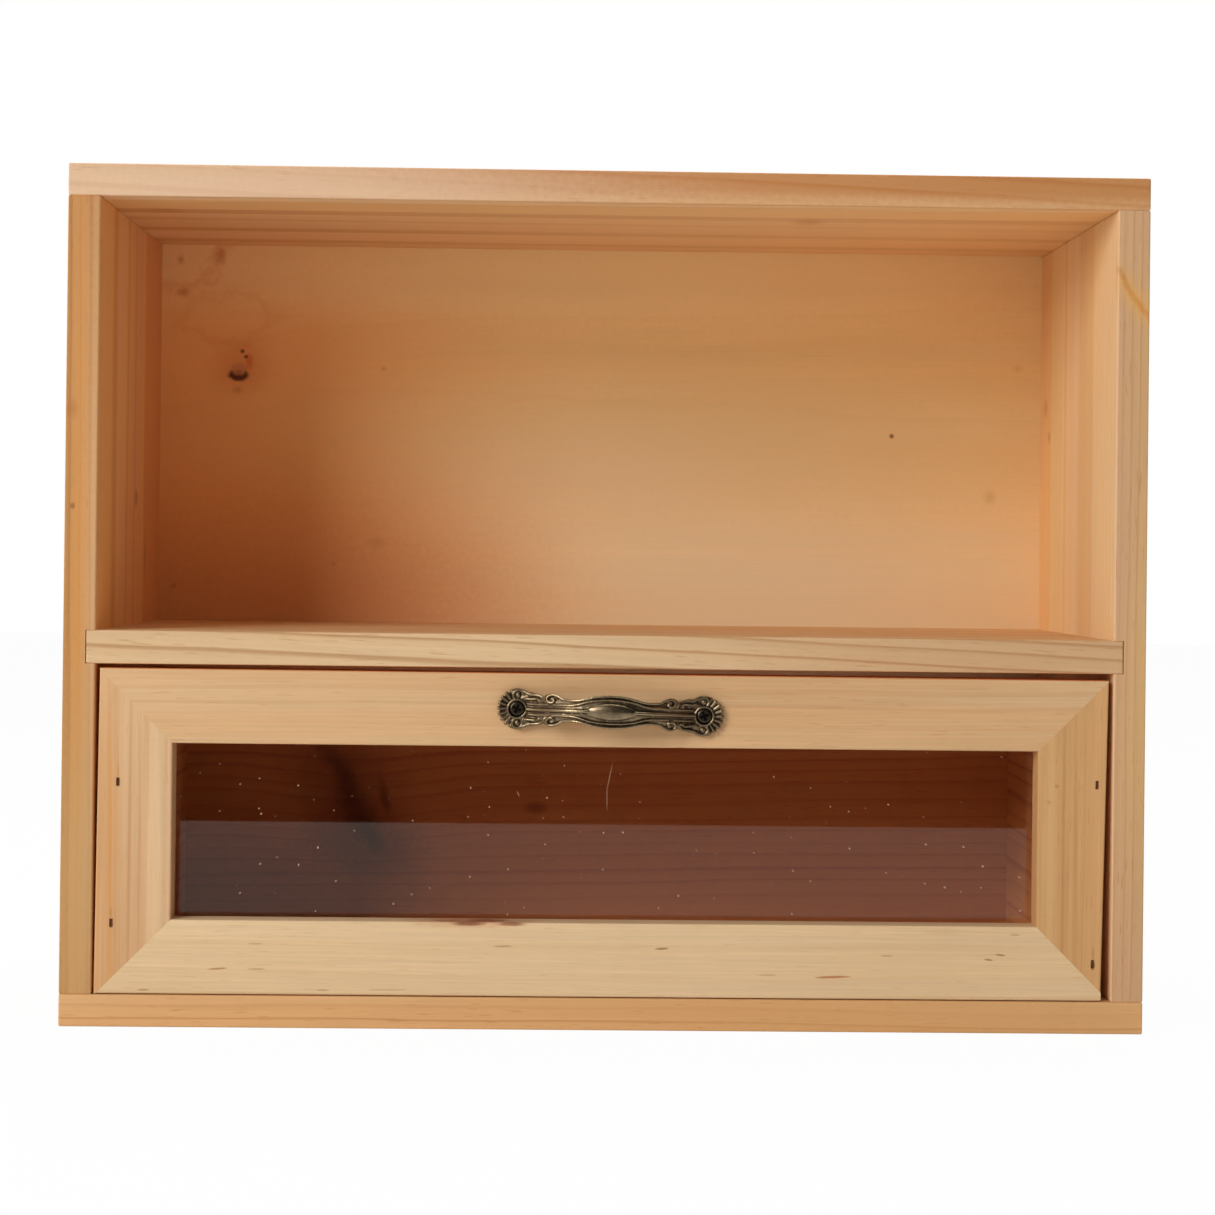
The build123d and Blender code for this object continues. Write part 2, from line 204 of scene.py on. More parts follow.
cameraSetup = {
    "place": (-0.0156, -0.78697, 0.13558),
    "turn": (90.252, -0.66, -1.218),
    "lens": 75.32,
    "shiftY": -0.0514,
}

deselectAll()
bpy.ops.object.camera_add(
    location=cameraSetup["place"], rotation=[math.radians(angle) for angle in cameraSetup["turn"]]
)
camera = bpy.context.object
camera.name = "productCamera"
camera.data.sensor_width = 36.0
camera.data.lens = cameraSetup["lens"]
camera.data.shift_y = cameraSetup["shiftY"]
camera.data.clip_start = 0.01
bpy.context.scene.camera = camera
bpy.context.scene.view_settings.view_transform = "Standard"
print("stage: camera placed")


# table, lights and surroundings

stageSetup = {
    "tableFront": -1.9, "tableBack": 3.4, "tableHalfWidth": 3.0, "tableWhite": 0.86,
    # how much of the table is plain white to the camera
    "tableSeenWhite": 0.97,
    # how bright the table looks in glass and metal, and how near the camera that stops
    "tableMirrored": 0.55, "mirroredFront": -0.60, "mirroredSoft": 0.005,
    "keyAim": (0.0, -0.06, 0.12), "keyWay": (-0.86, -1.0, 0.50),
    "keyDistance": 1.8, "keySize": 0.80, "keyPower": 17.5,
    "topAim": (0.0, 0.3, 0.0), "topWay": (0.0, 0.0, 1.0),
    "topDistance": 1.3, "topSize": 1.0, "topPower": 11.5,
    "fill": 0.29,
    # what shiny pieces see behind the camera and to its left
    "roomDark": 0.01, "behindFade": (-0.25, 0.25), "roomLeft": 0.30, "leftFade": (-0.9, -0.3),
}

deselectAll()
bpy.ops.mesh.primitive_plane_add(size=2.0)
table = bpy.context.object
table.name = "whiteTable"
tableMiddle = (stageSetup["tableFront"] + stageSetup["tableBack"]) / 2
tableHalfDepth = (stageSetup["tableBack"] - stageSetup["tableFront"]) / 2
table.data.transform(Matrix.Diagonal((stageSetup["tableHalfWidth"], tableHalfDepth, 1.0, 1.0)))
table.data.transform(Matrix.Translation((0.0, tableMiddle, 0.0)))

tableMaterial, tree, skin, output = startMaterial("tablePaper")
skin.inputs["Base Color"].default_value = (stageSetup["tableWhite"],) * 3 + (1.0,)
skin.inputs["Roughness"].default_value = 0.9
skin.inputs["Specular IOR Level"].default_value = 0.1
path = addNode(tree, "LightPath")
paper = addNode(tree, "Emission")
seen = times(tree, path.outputs["Is Camera Ray"], stageSetup["tableSeenWhite"])
mirrored = calc(tree, "MAXIMUM", path.outputs["Is Glossy Ray"], path.outputs["Is Transmission Ray"])
front, soft = stageSetup["mirroredFront"], stageSetup["mirroredSoft"]
depth = split(tree, objectSpot(tree))["Y"]
glow = ramp(tree, depth, front - soft, front + soft, 0.0, stageSetup["tableMirrored"])
feed(tree, calc(tree, "MAXIMUM", path.outputs["Is Camera Ray"], glow), paper.inputs["Strength"])
lit = calc(tree, "MAXIMUM", seen, mirrored)
whole = mixShaders(tree, lit, skin.outputs["BSDF"], paper.outputs["Emission"])
feed(tree, whole, output.inputs["Surface"])
table.data.materials.append(tableMaterial)

for label in ("key", "top"):
    deselectAll()
    way = Vector(stageSetup[label + "Way"]).normalized()
    place = Vector(stageSetup[label + "Aim"]) + way * stageSetup[label + "Distance"]
    turn = way.to_track_quat("Z", "Y").to_euler()
    bpy.ops.object.light_add(type="AREA", location=place, rotation=turn)
    lamp = bpy.context.object
    lamp.name = label + "Softbox"
    lamp.data.shape = "SQUARE"
    lamp.data.size = stageSetup[label + "Size"]
    lamp.data.energy = stageSetup[label + "Power"]

world = bpy.data.worlds.new("studio")
bpy.context.scene.world = world
world.use_nodes = True
tree = world.node_tree
tree.nodes.clear()
path = addNode(tree, "LightPath")
direction = split(tree, addNode(tree, "TexCoord").outputs["Generated"])
backgrounds = [addNode(tree, "Background") for _ in range(3)]
for background in backgrounds:
    background.inputs["Color"].default_value = (1.0, 1.0, 1.0, 1.0)
white, fill, room = backgrounds
fill.inputs["Strength"].default_value = stageSetup["fill"]
behind = ramp(tree, direction["Y"], *stageSetup["behindFade"], stageSetup["roomDark"], 1.0)
beside = ramp(tree, direction["X"], *stageSetup["leftFade"], stageSetup["roomLeft"], 0.0)
feed(tree, calc(tree, "MAXIMUM", behind, beside), room.inputs["Strength"])
mirrored = calc(tree, "MAXIMUM", path.outputs["Is Glossy Ray"], path.outputs["Is Transmission Ray"])
around = mixShaders(tree, mirrored, fill.outputs["Background"], room.outputs["Background"])
whole = mixShaders(tree, path.outputs["Is Camera Ray"], around, white.outputs["Background"])
feed(tree, whole, addNode(tree, "OutputWorld").inputs["Surface"])
print("stage: table and lights placed")


# pine: growth rings round a pith line, cut by each board's own faces

# how fast each pattern changes, per mm, along the grain and across it
grainRates = {
    "wander": (0.005, 0.04, 0.04),
    "ripple": (0.022, 0.35, 0.35),
    "areas": (0.004, 0.028, 0.028),
    "bands": (0.0012, 0.13, 0.13),
    "fibres": (0.022, 1.6, 1.6),
    "blotches": (0.10, 0.22, 0.22),
    "canals": (0.16, 2.6, 2.6),
    # and unevenness, per ring
    "years": 0.55,
}

# how strongly each pattern shows, and the limits that each one fades between
grainLook = {
    "ripple": 0.9, "uneven": 1.5, "palestYear": 0.3,
    "rise": (0.62, 0.9), "fall": (0.93, 1.0), "haze": 0.22,
    "warmAreas": (0.36, 0.66), "bandGain": 0.55,
    "canal": (0.68, 0.80), "canalTone": 0.75,
    "roughness": 0.62, "fibreRoughness": 0.25, "lateRoughness": 0.10,
    "fibreHeight": 0.7, "lateHeight": 0.35, "canalDepth": 0.5,
}


def buildPineFigure():
    # the vector comes in metres, with X along the grain and the pith on the X axis
    tree, given, made = startGroup(
        "pineFigure",
        {
            "Vector": nowhere, "Seed": 0.0, "Ring Width": 4.0, "Wander": 0.0, "Contrast": 0.0, "Fibre": 0.0,
            "Canals": 0.0, "Bend": 0.0, "Bands": 0.0, "Blotches": 0.0, "Early": black, "Late": black,
            "Warm": black,
        },
        Color="Color", Roughness="Float", Height="Float",
    )
    seed = given["Seed"]
    local = inMillimetres(tree, given["Vector"])

    def grainCloud(label, shift=0.0, **settings):
        place = vectorCalc(tree, "MULTIPLY", local, grainRates[label])
        return cloud(tree, place, plus(tree, seed, shift) if shift else seed, **settings)

    # distance from the pith, with slow wander and a fine ripple
    apart = split(tree, local)
    distance = vectorCalc(tree, "LENGTH", combine(tree, Y=apart["Y"], Z=apart["Z"]))
    slow = sway(tree, grainCloud("wander"), times(tree, given["Wander"], 2.0))
    ripple = sway(tree, grainCloud("ripple"), grainLook["ripple"])
    distance = plus(tree, plus(tree, distance, slow), plus(tree, ripple, given["Bend"]))
    rings = calc(tree, "DIVIDE", distance, given["Ring Width"])
    # uneven years
    years = combine(tree, X=times(tree, rings, grainRates["years"]))
    uneven = cloud(tree, years, seed, detail=1.0)
    rings = plus(tree, rings, times(tree, uneven, grainLook["uneven"]))
    year, season = calc(tree, "FLOOR", rings), calc(tree, "FRACT", rings)
    chance = addNode(tree, "TexWhiteNoise", noise_dimensions="1D")
    feed(tree, plus(tree, year, seed), chance.inputs["W"])
    palest = grainLook["palestYear"]
    strength = ramp(tree, chance.outputs["Value"], 0.0, 1.0, palest, 1.0, smooth=False)
    # latewood darkens slowly and ends sharply
    rise = ramp(tree, season, *grainLook["rise"])
    late = times(tree, rise, ramp(tree, season, *grainLook["fall"], 1.0, 0.0))
    late = times(tree, late, strength)
    haze = times(tree, times(tree, season, season), grainLook["haze"])
    share = calc(tree, "MULTIPLY", calc(tree, "MAXIMUM", late, haze), given["Contrast"], clamp=True)
    # broad warm and pale areas, and straight bands of a few years
    band = grainCloud("bands", 6.0, detail=3.0)
    area = plus(tree, grainCloud("areas", 4.0), sway(tree, band, given["Bands"]))
    warm = ramp(tree, area, *grainLook["warmAreas"])
    tone = blendColours(tree, warm, given["Early"], given["Warm"])
    tone = blendColours(tree, share, tone, given["Late"])
    # fibres, blotches and resin canals
    fibre = grainCloud("fibres", detail=5.0, roughness=0.65)
    gain = sway(tree, fibre, given["Fibre"])
    gain = plus(tree, gain, sway(tree, grainCloud("blotches", detail=3.0), given["Blotches"]))
    gain = plus(tree, gain, sway(tree, band, times(tree, given["Bands"], grainLook["bandGain"])))
    tone = vectorCalc(tree, "SCALE", tone, scale=plus(tree, gain, 1.0))
    canal = ramp(tree, grainCloud("canals", 9.0, detail=0.0), *grainLook["canal"])
    canalTone = blendColours(tree, grainLook["canalTone"], tone, given["Late"])
    tone = blendColours(tree, times(tree, canal, given["Canals"]), tone, canalTone)
    feed(tree, tone, made["Color"])
    rough = plus(tree, grainLook["roughness"], sway(tree, fibre, grainLook["fibreRoughness"]))
    feed(tree, minus(tree, rough, times(tree, late, grainLook["lateRoughness"])), made["Roughness"])
    height = plus(
        tree, times(tree, fibre, grainLook["fibreHeight"]), times(tree, late, grainLook["lateHeight"])
    )
    feed(tree, minus(tree, height, times(tree, canal, grainLook["canalDepth"])), made["Height"])
    return tree


def buildBoardMark():
    # an oval mark inside the wood: a knot, a resin streak or a stain
    tree, given, made = startGroup(
        "boardMark",
        {
            "Vector": nowhere, "Centre": nowhere, "Radii": (5.0, 5.0, 5.0), "Turn": 0.0,
            "Edge": 0.3, "Wobble": 0.4, "Fine": 0.55,
        },
        Mask="Float",
    )
    local = vectorCalc(tree, "SUBTRACT", inMillimetres(tree, given["Vector"]), given["Centre"])
    turned = addNode(tree, "VectorRotate", rotation_type="Y_AXIS")
    feed(tree, local, turned.inputs["Vector"])
    feed(tree, given["Turn"], turned.inputs["Angle"])
    size = vectorCalc(tree, "LENGTH", vectorCalc(tree, "DIVIDE", turned.outputs["Vector"], given["Radii"]))
    ragged = cloud(tree, vectorCalc(tree, "SCALE", local, scale=given["Fine"]), 3.0)
    size = plus(tree, size, sway(tree, ragged, times(tree, given["Wobble"], 2.0)))
    inner, outer = minus(tree, 1.0, given["Edge"]), plus(tree, 1.0, given["Edge"])
    feed(tree, ramp(tree, size, inner, outer, 1.0, 0.0), made["Mask"])
    return tree


# how far away the second strip's figure is taken, then where the seam's line is and how it fades, in mm
gluedSeam = {"otherStrip": (0.7, 0.013, 0.021), "lineAt": 0.6, "fade": (0.5, 0.9), "share": 0.6}


def buildGluedStrip():
    # boards glued up from two strips: behind the seam the figure is another piece of wood
    tree, given, made = startGroup(
        "gluedStrip", {"Vector": nowhere, "Figure": nowhere, "Seam": 18.0}, Figure="Vector", Line="Float"
    )
    past = minus(tree, split(tree, inMillimetres(tree, given["Vector"]))["Y"], given["Seam"])
    behind = calc(tree, "GREATER_THAN", past, 0.0)
    otherStrip = vectorCalc(tree, "SCALE", gluedSeam["otherStrip"], scale=behind)
    feed(tree, vectorCalc(tree, "ADD", given["Figure"], otherStrip), made["Figure"])
    offSeam = calc(tree, "ABSOLUTE", minus(tree, past, gluedSeam["lineAt"]))
    feed(tree, ramp(tree, offSeam, *gluedSeam["fade"], 1.0, 0.0), made["Line"])
    return tree


# how far a band's sides fade and wander, in mm, and how fast they wander, per mm
bandLook = {"soft": 1.5, "drift": 3.0, "driftRate": (0.006, 0.0, 0.006)}


def buildLongBand():
    # a band of like-coloured years along the whole board, between two places across it
    tree, given, made = startGroup("longBand", {"Vector": nowhere, "From": 0.0, "To": 1.0}, Mask="Float")
    local = inMillimetres(tree, given["Vector"])
    drifting = vectorCalc(tree, "MULTIPLY", local, bandLook["driftRate"])
    drift = sway(tree, cloud(tree, drifting, given["From"], detail=1.0), bandLook["drift"])
    place = plus(tree, split(tree, local)["Y"], drift)
    sides, soft = [], bandLook["soft"]
    for limit in (given["From"], given["To"]):
        sides.append(ramp(tree, place, minus(tree, limit, soft), plus(tree, limit, soft)))
    feed(tree, calc(tree, "SUBTRACT", *sides, clamp=True), made["Mask"])
    return tree


pineFigure, boardMark, gluedStrip, longBand = (
    buildPineFigure(), buildBoardMark(), buildGluedStrip(), buildLongBand()
)

# turns that bring each direction of the grain onto X
grainTurns = {
    "x": Matrix.Identity(3),
    "y": Euler((0, 0, -math.pi / 2)).to_matrix(),
    "z": Euler((0, math.pi / 2, 0)).to_matrix(),
}

# what a board has unless its own entry says otherwise
plainBoard = {
    "contrast": 0.75, "wander": 3.0, "fibre": 0.28, "bands": 0.3, "blotches": 0.07, "canals": 0.5,
    "knots": [], "strips": [], "marks": [],
}
# where the front edges begin, in metres, how faces fade into the rest and how fine the marks' rims are
boardSkin = {
    "frontFace": (-0.05995, -0.0597), "faceFade": (0.8, 0.95),
    "markDetail": 0.55, "rimDetail": 0.13, "rimGain": 4.0,
    "relief": 0.5, "reliefDepth": 0.00006,
}
# both sides of the drawer are cut from one kind of board
drawerSide = {
    "grain": "y", "ringWidth": 4.4, "tones": ((208, 146, 90), (170, 98, 48), (198, 134, 78)),
}
# a mark is a middle, half sizes, a share and a colour, and then its softness, raggedness, turn
# and whether only its rim shows, as far as they differ from these
plainMark = (0.3, 0.3, 0.0, False)

# one entry for each board: colours in 0 to 255, places in mm, tilts and turns in degrees.
# the tones are earlywood, latewood and the warm areas
boards = {}
boards["case_top"] = {
    "grain": "x", "pith": (0, -96, 196), "tilt": (0, -2.4, 0.3), "seed": 1.3, "ringWidth": 4.6,
    "tones": ((244, 201, 146), (200, 128, 66), (232, 182, 120)), "seam": 18.0,
    "bands": 0.5, "edge": (234, 237, 247), "canals": 0.9, "seamLight": (250, 212, 160),
    "strips": [
        (-59, -53, (246, 212, 166), 0.5), (-52, -34, (240, 188, 122), 0.75),
        (-33, -24, (212, 146, 86), 0.7), (-23, -15, (236, 186, 130), 0.7),
        (-14, -8, (222, 160, 102), 0.65), (-7, 8, (234, 184, 130), 0.7),
        (9, 17, (212, 148, 88), 0.7), (21, 34, (244, 196, 144), 0.7),
        (38, 44, (216, 154, 98), 0.6), (45, 54, (236, 184, 130), 0.6),
    ],
    "marks": [
        ((70, -60, 243), (180, 1.5, 10), 0.8, (196, 126, 68), 0.9),
        ((-105, -60, 240), (90, 1.5, 8), 0.5, (240, 208, 180), 0.8),
        # painted light: a paler middle on the underside of the top, standing in for bounced light
        ((75, 0, 236.8), (130, 60, 3), 0.5, (255, 218, 166), 0.9),
        ((60, -24, 236.8), (4, 6, 1), 0.3, (178, 110, 54), 0.8),
        ((-132, -30, 236.8), (5, 4, 1), 0.3, (178, 110, 54), 0.8),
    ],
}
boards["case_bottom"] = {
    "grain": "x", "pith": (0, -88, -40), "tilt": (0, 0.2, 0.2), "seed": 5.1, "ringWidth": 3.4,
    "tones": ((236, 189, 136), (204, 142, 84), (228, 176, 120)), "seam": 18.0, "bands": 0.5,
    "canals": 0.8,
    "marks": [
        ((110, -60, 5), (90, 2, 14), 0.6, (216, 160, 100), 0.9),
    ],
}
boards["case_left_side"] = {
    "grain": "z", "pith": (-196, -92, 0), "tilt": (0, 0.3, 0.2), "seed": 8.7, "ringWidth": 2.8,
    "tones": ((240, 184, 120), (198, 118, 56), (230, 172, 122)), "seam": 18.0,
    "wander": 1.4, "contrast": 0.55, "bands": 0.6, "edge": (208, 201, 188),
    "seamLight": (236, 178, 124),
    "strips": [
        (-59, -37, (242, 176, 98), 0.5), (-36, -29, (206, 130, 64), 0.5), (-28, -15, (232, 176, 128), 0.5),
        (-11, -8, (208, 138, 84), 0.5), (3, 6, (206, 134, 80), 0.4), (22, 54, (220, 144, 90), 0.6),
    ],
    "marks": [
        ((-146.2, -60, 130), (3.0, 1.5, 90), 0.6, (226, 178, 130), 0.9),
        ((-151.0, -60, 120), (2.2, 1.5, 130), 0.5, (228, 158, 82), 0.9),
        ((-152.7, -60, 148.2), (0.7, 1, 0.9), 0.5, (120, 66, 30), 0.4),
        ((-153.4, -60, 176), (1.6, 1, 2.2), 0.4, (176, 108, 56), 0.8),
        ((-149.5, -60, 36), (6, 1.5, 46), 0.6, (206, 166, 112), 0.9),
        ((-145.8, 8, 152), (2, 2.4, 2.2), 0.45, (140, 72, 30), 0.6),
        ((-145.8, 26, 134), (2, 1.6, 7), 0.3, (160, 88, 38), 0.8),
    ],
}
boards["case_right_side"] = {
    "grain": "z", "pith": (196, -92, 0), "tilt": (0, -0.3, 0.2), "seed": 12.2, "ringWidth": 2.6,
    "tones": ((248, 212, 150), (210, 140, 72), (242, 204, 164)), "seam": 18.0,
    "wander": 1.4, "contrast": 0.35, "bands": 0.6, "edge": (220, 206, 196),
    "seamLight": (250, 206, 160),
    "strips": [
        (-59, -28, (248, 212, 156), 0.4), (-27, -7, (234, 188, 124), 0.65), (-5, 10, (244, 204, 154), 0.6),
        (12, 16, (236, 182, 134), 0.5), (22, 32, (242, 200, 150), 0.5), (37, 55, (244, 184, 120), 0.6),
    ],
    "marks": [
        # the resin streak across the front edge
        ((147.4, -60, 217.0), (3.6, 2.5, 0.7), 0.75, (190, 116, 46), 0.8, 0.9, -66),
        ((151.4, -60, 210.4), (5.2, 2.5, 0.8), 0.8, (196, 112, 44), 0.8, 0.9, -54),
        ((150.4, -60, 211.6), (9, 3, 2.6), 0.5, (232, 172, 88), 0.9, 0.8, -57),
        ((145.8, 46, 186), (2, 3, 2.4), 0.3, (180, 112, 60), 0.8),
        ((145.8, 40, 176), (2, 2, 1.6), 0.35, (170, 100, 52), 0.8),
    ],
}
boards["shelf"] = {
    "grain": "x", "pith": (0, -84, 52), "tilt": (0, -2.2, 0.2), "seed": 16.4, "ringWidth": 5.0,
    "tones": ((238, 200, 152), (186, 130, 76), (226, 184, 136)), "seam": 18.0,
    "edge": (244, 246, 250), "contrast": 0.85,
    "marks": [
        ((120, -60, 108), (70, 1.5, 8), 0.35, (190, 132, 84), 0.9),
    ],
}
boards["back_panel"] = {
    "grain": "x", "pith": (0, 150, 130), "tilt": (0, 0.6, 0.3), "seed": 21.9, "ringWidth": 9.0,
    "tones": ((240, 198, 138), (218, 158, 92), (236, 188, 124)), "contrast": 0.18,
    "wander": 9.0, "fibre": 0.16, "bands": 0.4, "blotches": 0.05, "canals": 0.12,
    "knots": [{"at": (-120, 55, 197), "size": (16, 20, 12), "push": 7.0}],
    "marks": [
        # painted light and shade: the next four marks deepen the left wall's shadow to orange, pale the lower
        # middle where the key falls, darken a band in the top board's shadow and darken the edge of the left
        # wall's shadow
        ((-125, 55, 160), (75, 2, 90), 0.7, (252, 158, 74), 0.9),
        ((62, 55, 112), (108, 2, 44), 0.5, (226, 210, 184), 0.9),
        ((50, 55, 176), (140, 2, 23), 0.6, (214, 176, 124), 0.9),
        ((-94, 55, 116), (60, 2, 34), 0.6, (206, 120, 66), 0.9),
        ((-10, 55, 160), (52, 2, 16), 0.3, (226, 196, 160), 0.9),
        # painted light: a pale band along the top of the panel, where the top board casts its shadow
        ((25, 55, 228), (150, 2, 14), 0.8, (255, 214, 152), 0.9),
        ((-119.6, 55, 197), (8, 4, 7), 0.4, (206, 112, 54), 0.9),
        ((-116.9, 55, 198.4), (1.1, 3, 2.4), 0.6, (214, 98, 42), 0.6),
        ((-120.3, 55, 194.1), (3.3, 3, 2.0), 0.92, (66, 22, 12), 0.3),
        ((-120.2, 55, 196.1), (2.5, 3, 2.0), 0.9, (206, 134, 82), 0.3),
        ((-120.4, 55, 194.9), (1.1, 3, 0.8), 0.5, (150, 84, 56), 0.5),
        ((-119.1, 55, 201.9), (0.7, 2, 0.7), 0.8, (88, 30, 12), 0.4),
        ((-117.9, 55, 200.1), (0.65, 2, 0.6), 0.8, (96, 32, 12), 0.4),
        ((-120.6, 55, 189.2), (1.4, 2, 1.0), 0.3, (150, 84, 44), 0.9),
        ((-126.8, 55, 233.4), (1.6, 2, 2.4), 0.6, (196, 98, 36), 0.8, 0.9),
        ((-139.9, 55, 231.9), (1.0, 2, 1.2), 0.5, (192, 98, 40), 0.8, 0.8),
        ((-138.9, 55, 221.2), (1.8, 2, 1.2), 0.5, (196, 100, 40), 0.8, 0.9),
        ((-142.5, 55, 237), (16.5, 2.6, 14), 0.2, (214, 108, 38), 0.22, 0.8, 0.0, True),
        ((-124, 55, 213), (14, 2.6, 8), 0.14, (214, 110, 40), 0.3, 0.9, 0.0, True),
        ((-72.5, 55, 196.7), (0.8, 2, 0.6), 0.28, (150, 80, 40), 0.7),
        ((-88.3, 55, 132.0), (0.9, 2, 0.7), 0.25, (150, 80, 40), 0.7),
        ((-140.8, 55, 124.3), (0.9, 2, 0.8), 0.25, (150, 80, 40), 0.7),
        ((-74.1, 55, 139.2), (2.4, 2, 1.6), 0.25, (184, 116, 66), 0.9),
        ((96.2, 55, 176.5), (0.75, 2, 0.75), 0.8, (110, 52, 20), 0.4),
        ((129.1, 55, 156.7), (1.6, 2, 1.8), 0.3, (176, 122, 70), 0.9),
        ((138.0, 55, 199.6), (1.4, 2, 1.0), 0.3, (200, 128, 66), 0.9),
    ],
}
boards["front_top_rail"] = {
    "grain": "x", "pith": (0, -40, 190), "tilt": (0, 0.3, 0.3), "seed": 24.3, "ringWidth": 5.2,
    "tones": ((222, 182, 136), (204, 148, 98), (212, 168, 120)),
    "fibre": 0.4, "contrast": 0.35, "bands": 0.9, "canals": 0.7,
    "marks": [
        ((-90, -60, 92), (60, 3, 12), 0.2, (236, 196, 150), 0.9),
        ((21.5, -60, 80.4), (2.0, 3, 0.7), 0.6, (150, 96, 58), 0.5),
    ],
}
boards["front_bottom_rail"] = {
    "grain": "x", "pith": (0, -10, -80), "tilt": (0, -0.2, 0.27), "seed": 27.8, "ringWidth": 6.4,
    "tones": ((233, 201, 158), (214, 170, 120), (227, 193, 148)),
    "fibre": 0.4, "contrast": 0.35, "bands": 0.5,
    "marks": [
        ((-109.9, -60, 16.8), (2.6, 2, 0.27), 0.7, (172, 112, 66), 0.3, 0.3, 4),
        ((-98.8, -60, 16.8), (2.4, 2, 0.27), 0.35, (152, 88, 44)),
        ((-99.3, -60, 24.0), (2.0, 2, 0.27), 0.3, (152, 88, 44)),
        ((-131, -60, 10.6), (1.6, 2, 0.27), 0.45, (146, 84, 42)),
        ((-80, -60, 10.9), (1.8, 2, 0.25), 0.4, (146, 84, 42)),
        ((-61.2, -60, 11.2), (6.0, 2, 0.27), 0.3, (164, 100, 52)),
        ((-28.7, -60, 23.8), (2.6, 2, 0.27), 0.55, (176, 116, 68), 0.3, 0.3, 2),
        ((16.6, -60, 23.5), (1.9, 2, 0.3), 0.7, (140, 78, 38), 0.3, 0.3, 3),
        ((65.7, -60, 15.8), (4.6, 2, 0.34), 0.75, (178, 100, 44), 0.3, 0.3, 2),
        ((47, -60, 16.2), (2.6, 2, 0.27), 0.3, (164, 100, 52)),
        ((113.8, -60, 22.5), (1.4, 2, 0.27), 0.65, (134, 76, 38), 0.3, 0.3, -6),
        ((110.4, -60, 21.1), (1.2, 2, 0.27), 0.6, (142, 80, 40), 0.3, 0.3, -6),
        ((81.2, -60, 22), (1.8, 2, 0.25), 0.35, (152, 88, 44)),
        ((118, -60, 28.3), (1.4, 2, 0.25), 0.4, (146, 84, 42)),
        ((96.6, -60, 29), (5.0, 2, 0.8), 0.2, (180, 140, 96), 0.8),
        ((-38.2, -56, 30.8), (14, 4.6, 1.7), 0.6, (190, 96, 46), 0.8),
        ((-33.6, -56, 30.8), (5.2, 3.0, 1.4), 0.65, (126, 46, 18), 0.6, 0.6),
        ((-44.0, -57, 30.8), (3.6, 2.0, 1.3), 0.4, (140, 56, 22), 0.8, 0.7),
        ((-38.6, -60, 30.2), (4.0, 2, 0.6), 0.8, (130, 66, 34), 0.5),
        ((-26.4, -60, 30.2), (3.4, 2, 0.55), 0.75, (136, 72, 38), 0.5),
    ],
}
boards["front_left_stile"] = {
    "grain": "z", "pith": (-200, -30, 0), "tilt": (0, 0.2, 0.3), "seed": 31.6, "ringWidth": 4.2,
    "tones": ((224, 184, 140), (202, 148, 98), (214, 164, 114)),
    "fibre": 0.4, "contrast": 0.3, "bands": 1.2,
    "marks": [
        ((-142.5, -60, 80), (4.0, 3, 30), 0.3, (210, 152, 96), 0.9),
        ((-141.0, -60, 52), (0.6, 3, 40), 0.55, (214, 146, 72), 0.9, 0.3, 0.8),
        ((-135.4, -60, 50), (0.45, 3, 40), 0.5, (192, 138, 92), 0.9),
        ((-132.6, -60, 44), (0.35, 3, 34), 0.4, (196, 142, 94), 0.9),
        ((-128.4, -60, 48), (2.4, 3, 44), 0.5, (238, 202, 158), 0.7),
        ((-138.8, -60, 69.6), (0.55, 2, 1.1), 0.7, (124, 74, 40), 0.4),
        ((-138.8, -60, 73.0), (0.3, 2, 2.2), 0.35, (160, 100, 54), 0.7),
        ((-140.3, -60, 29.3), (0.55, 2, 1.1), 0.7, (124, 74, 40), 0.4),
        ((-140.4, -60, 32.4), (0.3, 2, 1.8), 0.35, (160, 100, 54), 0.7),
    ],
}
boards["front_right_stile"] = {
    "grain": "z", "pith": (196, -70, 0), "tilt": (0, -0.3, 0.3), "seed": 35.5, "ringWidth": 2.4,
    "tones": ((218, 170, 112), (194, 136, 80), (212, 162, 108)),
    "fibre": 0.4, "contrast": 0.3, "bands": 0.8,
    "marks": [
        ((127.9, -60, 48), (1.8, 3, 40), 0.45, (230, 186, 130), 0.7),
        ((131.6, -60, 50), (0.4, 3, 36), 0.45, (184, 126, 70), 0.9),
        ((135.2, -60, 46), (0.5, 3, 34), 0.35, (190, 134, 78), 0.9),
        ((141.2, -60, 71.2), (0.5, 2, 1.0), 0.5, (140, 88, 48), 0.5),
        ((140.5, -60, 19.8), (0.6, 2, 1.3), 0.8, (112, 66, 36), 0.4),
        ((140.6, -60, 23.0), (0.3, 2, 1.6), 0.35, (150, 94, 50), 0.7),
        ((129.6, -60, 71.0), (0.6, 2, 0.5), 0.3, (140, 84, 42), 0.5),
        ((127.4, -60, 66.4), (0.5, 2, 0.5), 0.25, (140, 84, 42), 0.5),
    ],
}
boards["drawer_left_side"] = {"pith": (-190, 0, 110), "tilt": (0, 0, 0.5), "seed": 41.1, **drawerSide}
boards["drawer_right_side"] = {"pith": (190, 0, -20), "tilt": (0, 0, -0.5), "seed": 44.9, **drawerSide}
